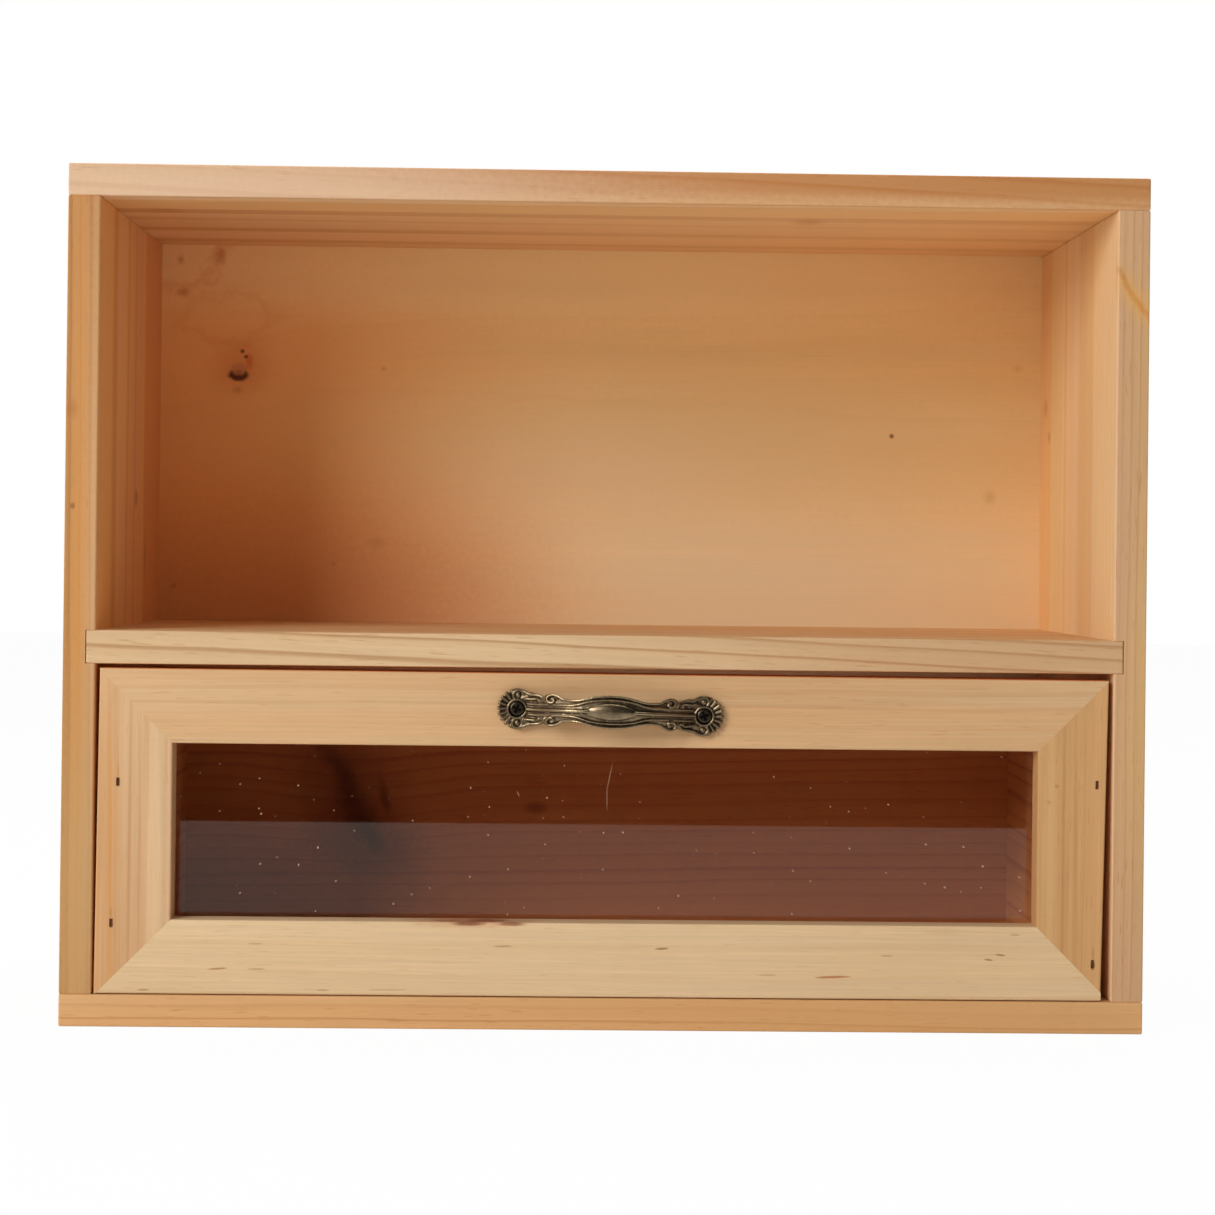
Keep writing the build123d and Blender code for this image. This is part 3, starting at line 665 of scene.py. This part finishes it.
boards["drawer_back"] = {
    "grain": "x", "pith": (0, 40, -70), "tilt": (0, 1.0, 0.3), "seed": 47.3, "ringWidth": 4.6,
    "tones": ((198, 128, 72), (146, 74, 34), (186, 112, 58)), "contrast": 0.6, "bands": 0.5,
    "knots": [{"at": (-79, 46, 55), "size": (26, 30, 14), "push": 4.5}],
    "marks": [
        # painted shade: a darker band along the bottom of the drawer back, against the lamp light that
        # reaches it through the window
        ((40, 46, 20), (170, 6, 28), 0.5, (146, 82, 44), 0.9),
        ((-81, 46, 56), (26, 8, 13), 0.65, (112, 50, 24), 0.9, 0.3, -64),
        ((-76, 46, 40), (14, 6, 7), 0.5, (84, 36, 20), 0.9, 0.5, -10),
        ((-87, 46, 68.6), (7.5, 4, 2.6), 0.45, (70, 30, 16), 0.9, 0.5, -52),
        ((-81.8, 46, 59.5), (7.0, 4, 3.4), 0.5, (60, 26, 14), 0.9, 0.5, -80),
        ((-78.1, 46, 50), (8.0, 4, 4.4), 0.55, (62, 27, 15), 0.9, 0.5, -58),
        ((-73.8, 46, 42.5), (5.0, 4, 2.4), 0.6, (60, 26, 14), 0.8, 0.5, -62),
        ((-69.8, 46, 56), (5.0, 4, 1.3), 0.5, (70, 32, 18), 0.8, 0.3, -78),
        ((-20.3, 46, 52.9), (3.0, 4, 1.6), 0.5, (84, 40, 20), 0.8),
    ],
}
boards["drawer_floor"] = {
    "grain": "x", "pith": (0, 20, -160), "tilt": (0, 0.4, 0.3), "seed": 51.8, "ringWidth": 8.0,
    "tones": ((206, 144, 90), (182, 114, 62), (198, 134, 80)), "contrast": 0.4,
}

# faces with a tone of their own: axis and way they face, colour and share. These tones are painted light
# and shade: the gaps round the drawer, which lie in shade, get the warm, deep colour of pine in shade, and
# the outside of the case is paler on the left and warmer on the right, against the strong key on the left and
# the dim fill on the right
paintedLightAndShade = {
    "front_top_rail": ("Z", 1.0, (246, 166, 96), 0.9),
    "shelf": ("Z", -1.0, (246, 166, 96), 0.9),
    "front_left_stile": ("X", -1.0, (236, 156, 90), 0.7),
    "front_right_stile": ("X", 1.0, (236, 156, 90), 0.7),
    "case_left_side": ("X", -1.0, (240, 200, 146), 0.45),
    "case_right_side": ("X", 1.0, (254, 204, 148), 0.45),
}


def tinted(tree, tone, mask, share, shade):
    return blendColours(tree, times(tree, mask, share), tone, colour(*shade))


def finishBoard(name, facts):
    facts = {**plainBoard, **facts}
    material, tree, skin, _ = startMaterial(name + "_pine")
    spot = objectSpot(tree)
    turn = Euler([math.radians(angle) for angle in facts["tilt"]]).to_matrix() @ grainTurns[facts["grain"]]
    mapping = addNode(tree, "Mapping")
    feed(tree, spot, mapping.inputs["Vector"])
    mapping.inputs["Rotation"].default_value = turn.to_euler("XYZ")
    mapping.inputs["Location"].default_value = -(turn @ Vector(facts["pith"]) * mm)
    figure = mapping.outputs["Vector"]
    if "seam" in facts:
        seam = useGroup(tree, gluedStrip, Vector=spot, Figure=figure, Seam=facts["seam"])
        figure = seam["Figure"]
    bend = 0.0
    for knot in facts["knots"]:
        push = useGroup(
            tree, boardMark, Vector=spot, Centre=knot["at"], Radii=knot["size"], Edge=0.95, Wobble=0.2,
        )["Mask"]
        bend = plus(tree, bend, times(tree, push, knot["push"]))
    values = {label: colour(*shade) for label, shade in zip(("Early", "Late", "Warm"), facts["tones"])}
    for label in ("seed", "contrast", "wander", "fibre", "bands", "blotches", "canals"):
        values[label.title()] = facts[label]
    values["Ring Width"] = facts["ringWidth"]
    pine = useGroup(tree, pineFigure, Vector=figure, Bend=bend, **values)
    tone = pine["Color"]
    if "edge" in facts:
        onEdge = ramp(tree, split(tree, spot)["Y"], *boardSkin["frontFace"], 1.0, 0.0)
        edgeTone = blendColours(tree, 1.0, tone, colour(*facts["edge"]), way="MULTIPLY")
        tone = blendColours(tree, onEdge, tone, edgeTone)
    for low, high, shade, share in facts["strips"]:
        mask = useGroup(tree, longBand, Vector=spot, From=low, To=high)["Mask"]
        tone = tinted(tree, tone, mask, share, shade)
    if "seam" in facts:
        tone = tinted(tree, tone, seam["Line"], gluedSeam["share"], facts.get("seamLight", facts["tones"][1]))
    for row in facts["marks"]:
        middle, size, share, shade, edge, wobble, turn, rimOnly = row + plainMark[len(row) - 4:]
        mask = useGroup(
            tree, boardMark, Vector=spot, Centre=middle, Radii=size, Turn=math.radians(turn), Edge=edge,
            Wobble=wobble, Fine=boardSkin["rimDetail" if rimOnly else "markDetail"],
        )["Mask"]
        if rimOnly:
            rim = times(tree, mask, minus(tree, 1.0, mask))
            mask = times(tree, rim, boardSkin["rimGain"])
        tone = tinted(tree, tone, mask, share, shade)
    # painted light and shade: gap faces take the warm colour of their shade, and outside faces are toned
    # against the key and the fill
    if name in paintedLightAndShade:
        axis, way, shade, share = paintedLightAndShade[name]
        apart = split(tree, addNode(tree, "TexCoord").outputs["Normal"])
        paintedFacing = ramp(tree, times(tree, apart[axis], way), *boardSkin["faceFade"], 0.0, share)
        tone = blendColours(tree, paintedFacing, tone, colour(*shade))
    feed(tree, tone, skin.inputs["Base Color"])
    feed(tree, pine["Roughness"], skin.inputs["Roughness"])
    skin.inputs["Specular IOR Level"].default_value = 0.2
    skin.inputs["Specular Tint"].default_value = (1.0, 0.93, 0.86, 1.0)
    addRelief(tree, skin, pine["Height"], boardSkin["relief"], boardSkin["reliefDepth"])
    dress(name, material)


for name, facts in boards.items():
    finishBoard(name, facts)
print("stage: boards finished")


# window glass: lamps and bounced light pass through it, and it carries dust and a few scratches

windowGlass = {
    "tint": (1.0, 0.92, 0.88),
    "reflected": (0.90, 0.78, 0.68),
    "dust": (236, 206, 176), "dustShare": 0.45, "spacing": 5.5, "speck": 0.24, "speckSoft": 0.04,
    "rarity": 3.0,
    # middle, half sizes and turn of each scratch
    "scratches": [
        ((1.4, -50, 71.8), (0.08, 30, 3.6), -11.6), ((0.7, -50, 65.6), (0.08, 30, 3.0), 1.0),
        ((-25.0, -50, 66.6), (0.12, 30, 0.7), 25),
    ],
    "scratchShare": 0.24,
}


def buildDustSpecks():
    tree, given, made = startGroup(
        "dustSpecks", {"Vector": nowhere, "Spacing": 5.5, "Speck": 0.24}, Mask="Float"
    )
    apart = split(tree, inMillimetres(tree, given["Vector"]))
    cells = addNode(tree, "TexVoronoi", voronoi_dimensions="2D")
    feed(tree, combine(tree, X=apart["X"], Y=apart["Z"]), cells.inputs["Vector"])
    feed(tree, calc(tree, "DIVIDE", 1.0, given["Spacing"]), cells.inputs["Scale"])
    reach = times(tree, cells.outputs["Distance"], given["Spacing"])
    # specks of many sizes, most of them very small
    chance = calc(tree, "POWER", split(tree, cells.outputs["Color"])["X"], windowGlass["rarity"])
    size, soft = times(tree, given["Speck"], chance), windowGlass["speckSoft"]
    feed(tree, ramp(tree, minus(tree, reach, size), -soft, soft, 1.0, 0.0), made["Mask"])
    return tree


def finishGlass():
    material, tree, skin, output = startMaterial("clearGlass")
    skin.inputs["Base Color"].default_value = (1.0, 1.0, 1.0, 1.0)
    skin.inputs["Roughness"].default_value = 0.0
    skin.inputs["IOR"].default_value = 1.5
    skin.inputs["Transmission Weight"].default_value = 1.0
    skin.inputs["Specular Tint"].default_value = (*windowGlass["reflected"], 1.0)
    path, clear = addNode(tree, "LightPath"), addNode(tree, "BsdfTransparent")
    clear.inputs["Color"].default_value = (*windowGlass["tint"], 1.0)
    passed = calc(tree, "MAXIMUM", path.outputs["Is Shadow Ray"], path.outputs["Is Diffuse Ray"])
    dust = addNode(tree, "BsdfDiffuse")
    dust.inputs["Color"].default_value = colour(*windowGlass["dust"])
    spot = objectSpot(tree)
    specks = useGroup(
        tree, buildDustSpecks(), Vector=spot, Spacing=windowGlass["spacing"], Speck=windowGlass["speck"]
    )["Mask"]
    share = times(tree, specks, windowGlass["dustShare"])
    for middle, size, turn in windowGlass["scratches"]:
        scratch = useGroup(
            tree, boardMark, Vector=spot, Centre=middle, Radii=size, Turn=math.radians(turn),
            Edge=0.6, Wobble=0.1,
        )["Mask"]
        share = calc(tree, "MAXIMUM", share, times(tree, scratch, windowGlass["scratchShare"]))
    dusty = mixShaders(tree, share, skin.outputs["BSDF"], dust.outputs["BSDF"])
    whole = mixShaders(tree, passed, dusty, clear.outputs["BSDF"])
    feed(tree, whole, output.inputs["Surface"])
    dress("window_glass", material)


finishGlass()


# metal: dark patina, rubbed bright where the casting stands proud

# scales per mm, then how far each pattern sways the wear
patinaLook = {
    "patchScale": 0.35, "speckScale": 3.0, "patch": 0.7, "speck": 0.35, "worn": (0.15, 0.95),
    "roughness": 0.40, "speckRoughness": 0.35, "wornPolish": 0.12,
    "proudEdges": (0.43, 0.56), "evenWear": 0.4, "relief": 0.35, "reliefDepth": 0.00008,
}


def buildPatina():
    tree, given, made = startGroup(
        "patina",
        {"Vector": nowhere, "Proud": 0.0, "Dark": black, "Rubbed": black, "Wear": 1.0, "Grain": 1.0},
        Color="Color", Roughness="Float", Height="Float",
    )
    local = inMillimetres(tree, given["Vector"])
    patchPlace = vectorCalc(tree, "SCALE", local, scale=patinaLook["patchScale"])
    speckPlace = vectorCalc(tree, "SCALE", local, scale=patinaLook["speckScale"])
    patch = cloud(tree, patchPlace, 2.0, detail=3.0)
    speck = cloud(tree, speckPlace, 5.0, detail=3.0, roughness=0.6)
    wear = plus(tree, given["Proud"], sway(tree, patch, patinaLook["patch"]))
    wear = plus(tree, wear, sway(tree, speck, patinaLook["speck"]))
    wear = times(tree, ramp(tree, wear, *patinaLook["worn"]), given["Wear"])
    feed(tree, blendColours(tree, wear, given["Dark"], given["Rubbed"]), made["Color"])
    rough = plus(tree, patinaLook["roughness"], sway(tree, speck, patinaLook["speckRoughness"]))
    feed(tree, minus(tree, rough, times(tree, wear, patinaLook["wornPolish"])), made["Roughness"])
    feed(tree, times(tree, speck, given["Grain"]), made["Height"])
    return tree


patina = buildPatina()

metals = {
    "castBronze": {
        "dark": (88, 68, 52), "rubbed": (208, 184, 144), "grain": 1.0, "metallic": 1.0, "proud": True,
        # wear in the middle of the bar and at its ends, and where it changes, in mm from the middle
        "middle": 1.25, "wear": 0.92, "endWear": 0.52, "from": 8.0, "to": 21.0,
    },
    "screwBronze": {
        "dark": (44, 38, 34), "rubbed": (130, 114, 92), "grain": 0.7, "metallic": 1.0, "proud": True,
        "wear": 0.5,
    },
    "brightWire": {
        "dark": (112, 100, 88), "rubbed": (190, 180, 166), "grain": 0.6, "metallic": 0.5, "wear": 0.6,
    },
    "stainedWire": {
        "dark": (122, 84, 54), "rubbed": (172, 130, 92), "grain": 0.6, "metallic": 0.15, "wear": 0.6,
    },
}


def buildMetal(name, facts):
    material, tree, skin, _ = startMaterial(name)
    spot = objectSpot(tree)
    proud, wear = patinaLook["evenWear"], facts["wear"]
    if "proud" in facts:
        pointed = addNode(tree, "NewGeometry").outputs["Pointiness"]
        proud = ramp(tree, pointed, *patinaLook["proudEdges"])
    if "endWear" in facts:
        place = split(tree, inMillimetres(tree, spot))["X"]
        off = calc(tree, "ABSOLUTE", minus(tree, place, facts["middle"]))
        wear = ramp(tree, off, facts["from"], facts["to"], facts["wear"], facts["endWear"])
    metal = useGroup(
        tree, patina, Vector=spot, Proud=proud, Dark=colour(*facts["dark"]), Wear=wear,
        Rubbed=colour(*facts["rubbed"]), Grain=facts["grain"],
    )
    skin.inputs["Metallic"].default_value = facts["metallic"]
    feed(tree, metal["Color"], skin.inputs["Base Color"])
    feed(tree, metal["Roughness"], skin.inputs["Roughness"])
    addRelief(tree, skin, metal["Height"], patinaLook["relief"], patinaLook["reliefDepth"])
    return material


metalFinishes = {name: buildMetal(name, facts) for name, facts in metals.items()}
for name in nodes:
    if name.endswith("_screw"):
        dress(name, metalFinishes["screwBronze"])
    elif name == "front_brads":
        dress(name, metalFinishes["stainedWire"])
    elif name.endswith("_brads") or name == "glazing_points":
        dress(name, metalFinishes["brightWire"])
print("stage: glass and metal finished")


# the pull: modelled in mm about its own middle, X along it, Z up, and -Y out of the rail

pull = {
    "middle": (1.25, -60.0, 91.05),
    "tilt": 1.7,
    "screwPlace": 26.75,
    # the shell at each end: radius and thickness, then its ribs
    "shellPlate": (4.9, 1.5),
    "ribs": 9, "ribSweep": 144.0, "ribInner": 3.0, "ribOuter": 5.15, "ribInnerRadius": 0.32,
    "ribOuterRadius": 0.66, "ribLift": 1.55,
    "bossRadius": 2.9, "bossHeight": 2.2, "bossRing": (2.62, 0.34, 2.3),
    "eyePlace": (26.5, 3.95), "eyeRadius": 0.8, "eyeRing": (1.42, 0.42), "eyeLift": 2.05,
    "eyeFlat": 0.9, "eyeSunk": 0.2,
    # the seat and the shank hole of each screw: radius, and where the drill starts and ends
    "drills": ((2.4, 1.0, 9.0), (1.6, -1.0, 5.0)),
    # the bar bows up a little between its ends
    "barRise": 0.6, "riseHalf": 21.0,
    "lensHalf": 9.0, "lensWidth": 2.45, "lensFlat": 0.48, "lensLift": 11.0, "lensDrop": 1.1,
    "lensTaper": 1.15, "lensTip": 0.02, "lensSteps": 12,
    # remesh step, smoothing and the angle that keeps an edge sharp
    "finest": 0.165, "smoothing": 0.5, "passes": 3, "sharpAngle": 50,
}
# the bar's place along, lift of its axis, width and thickness
barStations = [
    (24.4, 1.2, 5.6, 2.0), (22.2, 2.0, 7.0, 2.4), (20.2, 3.1, 7.8, 2.8), (18.4, 4.3, 7.9, 3.0),
    (16.4, 5.7, 7.6, 3.0), (14.6, 6.9, 6.6, 2.8), (12.6, 8.1, 5.8, 2.6), (10.5, 9.0, 5.7, 2.4),
    (8.4, 9.6, 6.4, 2.2), (6.4, 9.9, 7.5, 2.0), (4.2, 10.1, 8.6, 1.9), (2.0, 10.2, 9.2, 1.9),
    (-0.4, 10.2, 9.3, 1.9),
]
# raised lines, each a run of (along, up, out) with a radius
pullLines = {
    "rim": (0.36, [
        (14.4, 3.1, 7.3), (12.6, 2.95, 8.6), (10.5, 2.85, 9.9), (8.6, 3.1, 10.5), (6.6, 3.6, 10.8),
        (4.4, 4.15, 11.0), (2.2, 4.4, 11.1), (-0.4, 4.45, 11.1),
    ]),
    "ridge": (0.5, [
        (24.2, 0, 2.5), (22.2, 0, 3.5), (20.2, 0, 4.8), (18.4, 0, 6.1), (16.4, 0, 7.5), (14.6, 0, 8.6),
        (12.6, 0, 9.7), (10.5, 0, 10.45), (8.6, 0, 10.85), (6.6, 0, 11.0), (4.6, 0, 10.8),
    ]),
    "flank": (0.26, [
        (23.6, 1.5, 2.6), (22.0, 1.55, 3.3), (20.2, 1.5, 4.4), (18.6, 1.5, 5.5), (16.8, 1.5, 6.8),
        (14.8, 1.5, 8.1), (12.6, 1.5, 9.3), (10.8, 1.6, 10.1), (9.2, 1.9, 10.6), (7.4, 2.5, 10.9),
        (5.2, 3.0, 11.0), (2.6, 3.3, 11.1), (-0.4, 3.4, 11.1),
    ]),
    "crest": (0.5, [
        (28.4, 5.0, 1.5), (27.0, 5.45, 1.7), (25.6, 5.4, 1.9), (24.3, 4.7, 2.3), (23.2, 4.2, 2.7),
        (22.0, 4.1, 2.9), (20.8, 4.1, 3.2), (19.8, 3.7, 3.6), (19.3, 2.9, 4.1), (19.9, 2.3, 4.4),
        (20.8, 2.6, 4.2),
    ]),
    "vein": (0.36, [
        (24.6, 3.0, 2.6), (23.4, 2.9, 3.1), (22.2, 3.0, 3.5), (21.2, 3.1, 3.9),
    ]),
    "curl": (0.42, [
        (13.8, 3.1, 7.7), (15.0, 3.9, 7.2), (16.4, 4.4, 6.5), (17.8, 4.2, 6.0), (18.5, 3.3, 6.0),
        (18.1, 2.4, 6.5), (17.1, 2.0, 7.0), (16.2, 2.5, 7.1), (16.4, 3.2, 6.9), (17.1, 3.3, 6.7),
    ]),
}
# middle, half sizes and turn about the outward axis
leafLobes = [
    ((23.4, 3.3, 1.4), (2.6, 1.5, 1.5), 12),
    ((21.2, 2.9, 1.8), (2.2, 1.3, 1.6), 22),
    ((25.2, 3.6, 1.1), (2.0, 1.8, 1.2), 0),
    ((16.9, 2.9, 5.2), (2.6, 1.8, 0.9), 0),
]


def ownAxes(along, up, out):
    rise = pull["barRise"] * max(0.0, 1 - (along / pull["riseHalf"]) ** 2)
    return (along, -out, up + rise)


def addTube(points, radius, fineness=4, swell=None):
    bpy.ops.curve.primitive_nurbs_path_add()
    run = bpy.context.object
    spline = run.data.splines[0]
    # the path starts with five points, so a run of four ends at the path's own fifth
    spline.points.add(max(0, len(points) - len(spline.points)))
    for point, place in zip(spline.points, points):
        point.co = (*ownAxes(*place), 1.0)
        if swell is not None:
            point.radius = swell(place[0])
    spline.order_u = 3
    spline.use_endpoint_u = True
    run.data.bevel_depth = radius
    run.data.bevel_resolution = fineness
    run.data.use_fill_caps = True
    bpy.ops.object.convert(target="MESH")
    return bpy.context.object


def addBar():
    place, height, width, thickness = barStations[0]
    centre = ownAxes(place, 0, height)
    bpy.ops.mesh.primitive_circle_add(
        vertices=24, radius=1.0, fill_type="NGON", location=centre, rotation=(0, math.pi / 2, 0)
    )
    bar = bpy.context.object
    bpy.ops.object.transform_apply()
    bpy.ops.object.mode_set(mode="EDIT")
    bpy.ops.mesh.select_all(action="SELECT")
    bpy.ops.transform.resize(value=(1, thickness / 2, width / 2), center_override=centre)
    for before, after in zip(barStations, barStations[1:]):
        centre = ownAxes(after[0], 0, after[1])
        move = Vector(centre) - Vector(ownAxes(before[0], 0, before[1]))
        bpy.ops.mesh.extrude_region_move(TRANSFORM_OT_translate={"value": move})
        growth = (1, after[3] / before[3], after[2] / before[2])
        bpy.ops.transform.resize(value=growth, center_override=centre)
    bpy.ops.mesh.select_all(action="SELECT")
    bpy.ops.mesh.normals_make_consistent(inside=False)
    bpy.ops.object.mode_set(mode="OBJECT")
    return bar


def addLens():
    half, lift, steps = pull["lensHalf"], pull["lensLift"], pull["lensSteps"]

    def swell(along):
        share = along / half
        return max(pull["lensTip"], (1 - share * share) ** pull["lensTaper"])

    points = []
    for step in range(steps + 1):
        share = 2 * step / steps - 1
        points.append((half * share, 0, lift - pull["lensDrop"] * share * share))
    lens = addTube(points, pull["lensWidth"], 6, swell)
    bpy.ops.object.mode_set(mode="EDIT")
    bpy.ops.mesh.select_all(action="SELECT")
    bpy.ops.transform.resize(value=(1, pull["lensFlat"], 1), center_override=ownAxes(0, 0, lift))
    bpy.ops.object.mode_set(mode="OBJECT")
    return lens


def addEllipsoid(middle, halves, turn=0.0):
    bpy.ops.mesh.primitive_uv_sphere_add(
        segments=24, ring_count=14, location=ownAxes(*middle), rotation=(0, math.radians(turn), 0),
        scale=(halves[0], halves[2], halves[1]),
    )
    return bpy.context.object


def addDisc(middle, radius, low, high):
    along, up = middle
    bpy.ops.mesh.primitive_cylinder_add(
        vertices=40, radius=radius, depth=high - low, location=ownAxes(along, up, (low + high) / 2),
        rotation=(math.pi / 2, 0, 0),
    )
    return bpy.context.object


def addRing(middle, radius, thickness, lift):
    bpy.ops.mesh.primitive_torus_add(
        major_radius=radius, minor_radius=thickness, major_segments=36, minor_segments=12,
        location=ownAxes(*middle, lift), rotation=(math.pi / 2, 0, 0),
    )
    return bpy.context.object


def addRib(angle):
    centre = pull["screwPlace"]
    inner, outer = pull["ribInner"], pull["ribOuter"]
    way = Vector((math.cos(angle), math.sin(angle)))
    middle = way * (inner + outer) / 2
    bpy.ops.mesh.primitive_cone_add(
        vertices=16, radius1=pull["ribInnerRadius"], radius2=pull["ribOuterRadius"], depth=outer - inner,
        location=ownAxes(centre + middle.x, middle.y, pull["ribLift"]),
        rotation=Vector((way.x, 0, way.y)).to_track_quat("Z", "Y").to_euler(),
    )
    rib = bpy.context.object
    tip = way * outer
    radius = pull["ribOuterRadius"]
    cap = addEllipsoid((centre + tip.x, tip.y, pull["ribLift"]), (radius, radius, radius))
    return [rib, cap]


def joinPieces(pieces, name):
    deselectAll()
    for piece in pieces:
        piece.select_set(True)
    bpy.context.view_layer.objects.active = pieces[0]
    bpy.ops.object.join()
    whole = bpy.context.object
    whole.name = name
    bpy.ops.object.transform_apply()
    return whole


def applyModifier(piece, kind, **settings):
    modifier = piece.modifiers.new(kind.title(), kind)
    for name, value in settings.items():
        setattr(modifier, name, value)
    bpy.context.view_layer.objects.active = piece
    bpy.ops.object.modifier_apply(modifier=modifier.name)


def buildPull():
    deselectAll()
    centre = pull["screwPlace"]
    shellRadius, shellThickness = pull["shellPlate"]
    pieces = [addBar(), addDisc((centre, 0), shellRadius, 0.0, shellThickness)]
    for step in range(pull["ribs"]):
        angle = math.radians(pull["ribSweep"] * (step / (pull["ribs"] - 1) - 0.5))
        pieces += addRib(angle)
    pieces.append(addDisc((centre, 0), pull["bossRadius"], 0.0, pull["bossHeight"]))
    pieces.append(addRing((centre, 0), *pull["bossRing"]))
    for way in (-1, 1):
        eye = (pull["eyePlace"][0], way * pull["eyePlace"][1])
        pieces.append(addDisc(eye, pull["eyeRing"][0], 0.0, pull["eyeLift"] - pull["eyeSunk"]))
        pieces.append(addRing(eye, *pull["eyeRing"], pull["eyeLift"]))
        radius = pull["eyeRadius"]
        halves = (radius, radius, radius * pull["eyeFlat"])
        pieces.append(addEllipsoid((*eye, pull["eyeLift"]), halves))
        for (along, up, out), halves, turn in leafLobes:
            pieces.append(addEllipsoid((along, way * up, out), halves, way * turn))
        for label in ("rim", "flank", "crest", "vein", "curl"):
            radius, points = pullLines[label]
            pieces.append(addTube([(along, way * up, out) for along, up, out in points], radius))
    radius, points = pullLines["ridge"]
    pieces.append(addTube(points, radius))
    casting = joinPieces(pieces, "pull_casting")
    applyModifier(casting, "MIRROR", use_axis=(True, False, False), use_mirror_merge=False)
    lens = addLens()
    casting = joinPieces([casting, lens], "pull_casting")
    applyModifier(casting, "REMESH", mode="VOXEL", voxel_size=pull["finest"])
    applyModifier(casting, "SMOOTH", factor=pull["smoothing"], iterations=pull["passes"])
    deselectAll()
    for side in (-1, 1):
        for radius, low, high in pull["drills"]:
            drill = addDisc((side * centre, 0), radius, low, high)
            applyModifier(casting, "BOOLEAN", operation="DIFFERENCE", object=drill, solver="EXACT")
            bpy.data.objects.remove(drill)
    deselectAll()
    casting.select_set(True)
    bpy.context.view_layer.objects.active = casting
    tilt = Matrix.Rotation(math.radians(pull["tilt"]), 4, "Y")
    bring = Matrix.Translation(Vector(pull["middle"]) * mm) @ tilt
    casting.data.transform(bring @ Matrix.Diagonal((mm, mm, mm, 1.0)))
    bpy.ops.object.shade_smooth_by_angle(angle=math.radians(pull["sharpAngle"]))
    casting.data.materials.clear()
    casting.data.materials.append(metalFinishes["castBronze"])
    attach(casting, "drawer")
    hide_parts("pull_handle")
    return casting


pullCasting = buildPull()
print("stage: pull modelled,", len(pullCasting.data.polygons), "faces")


print("stage: done")
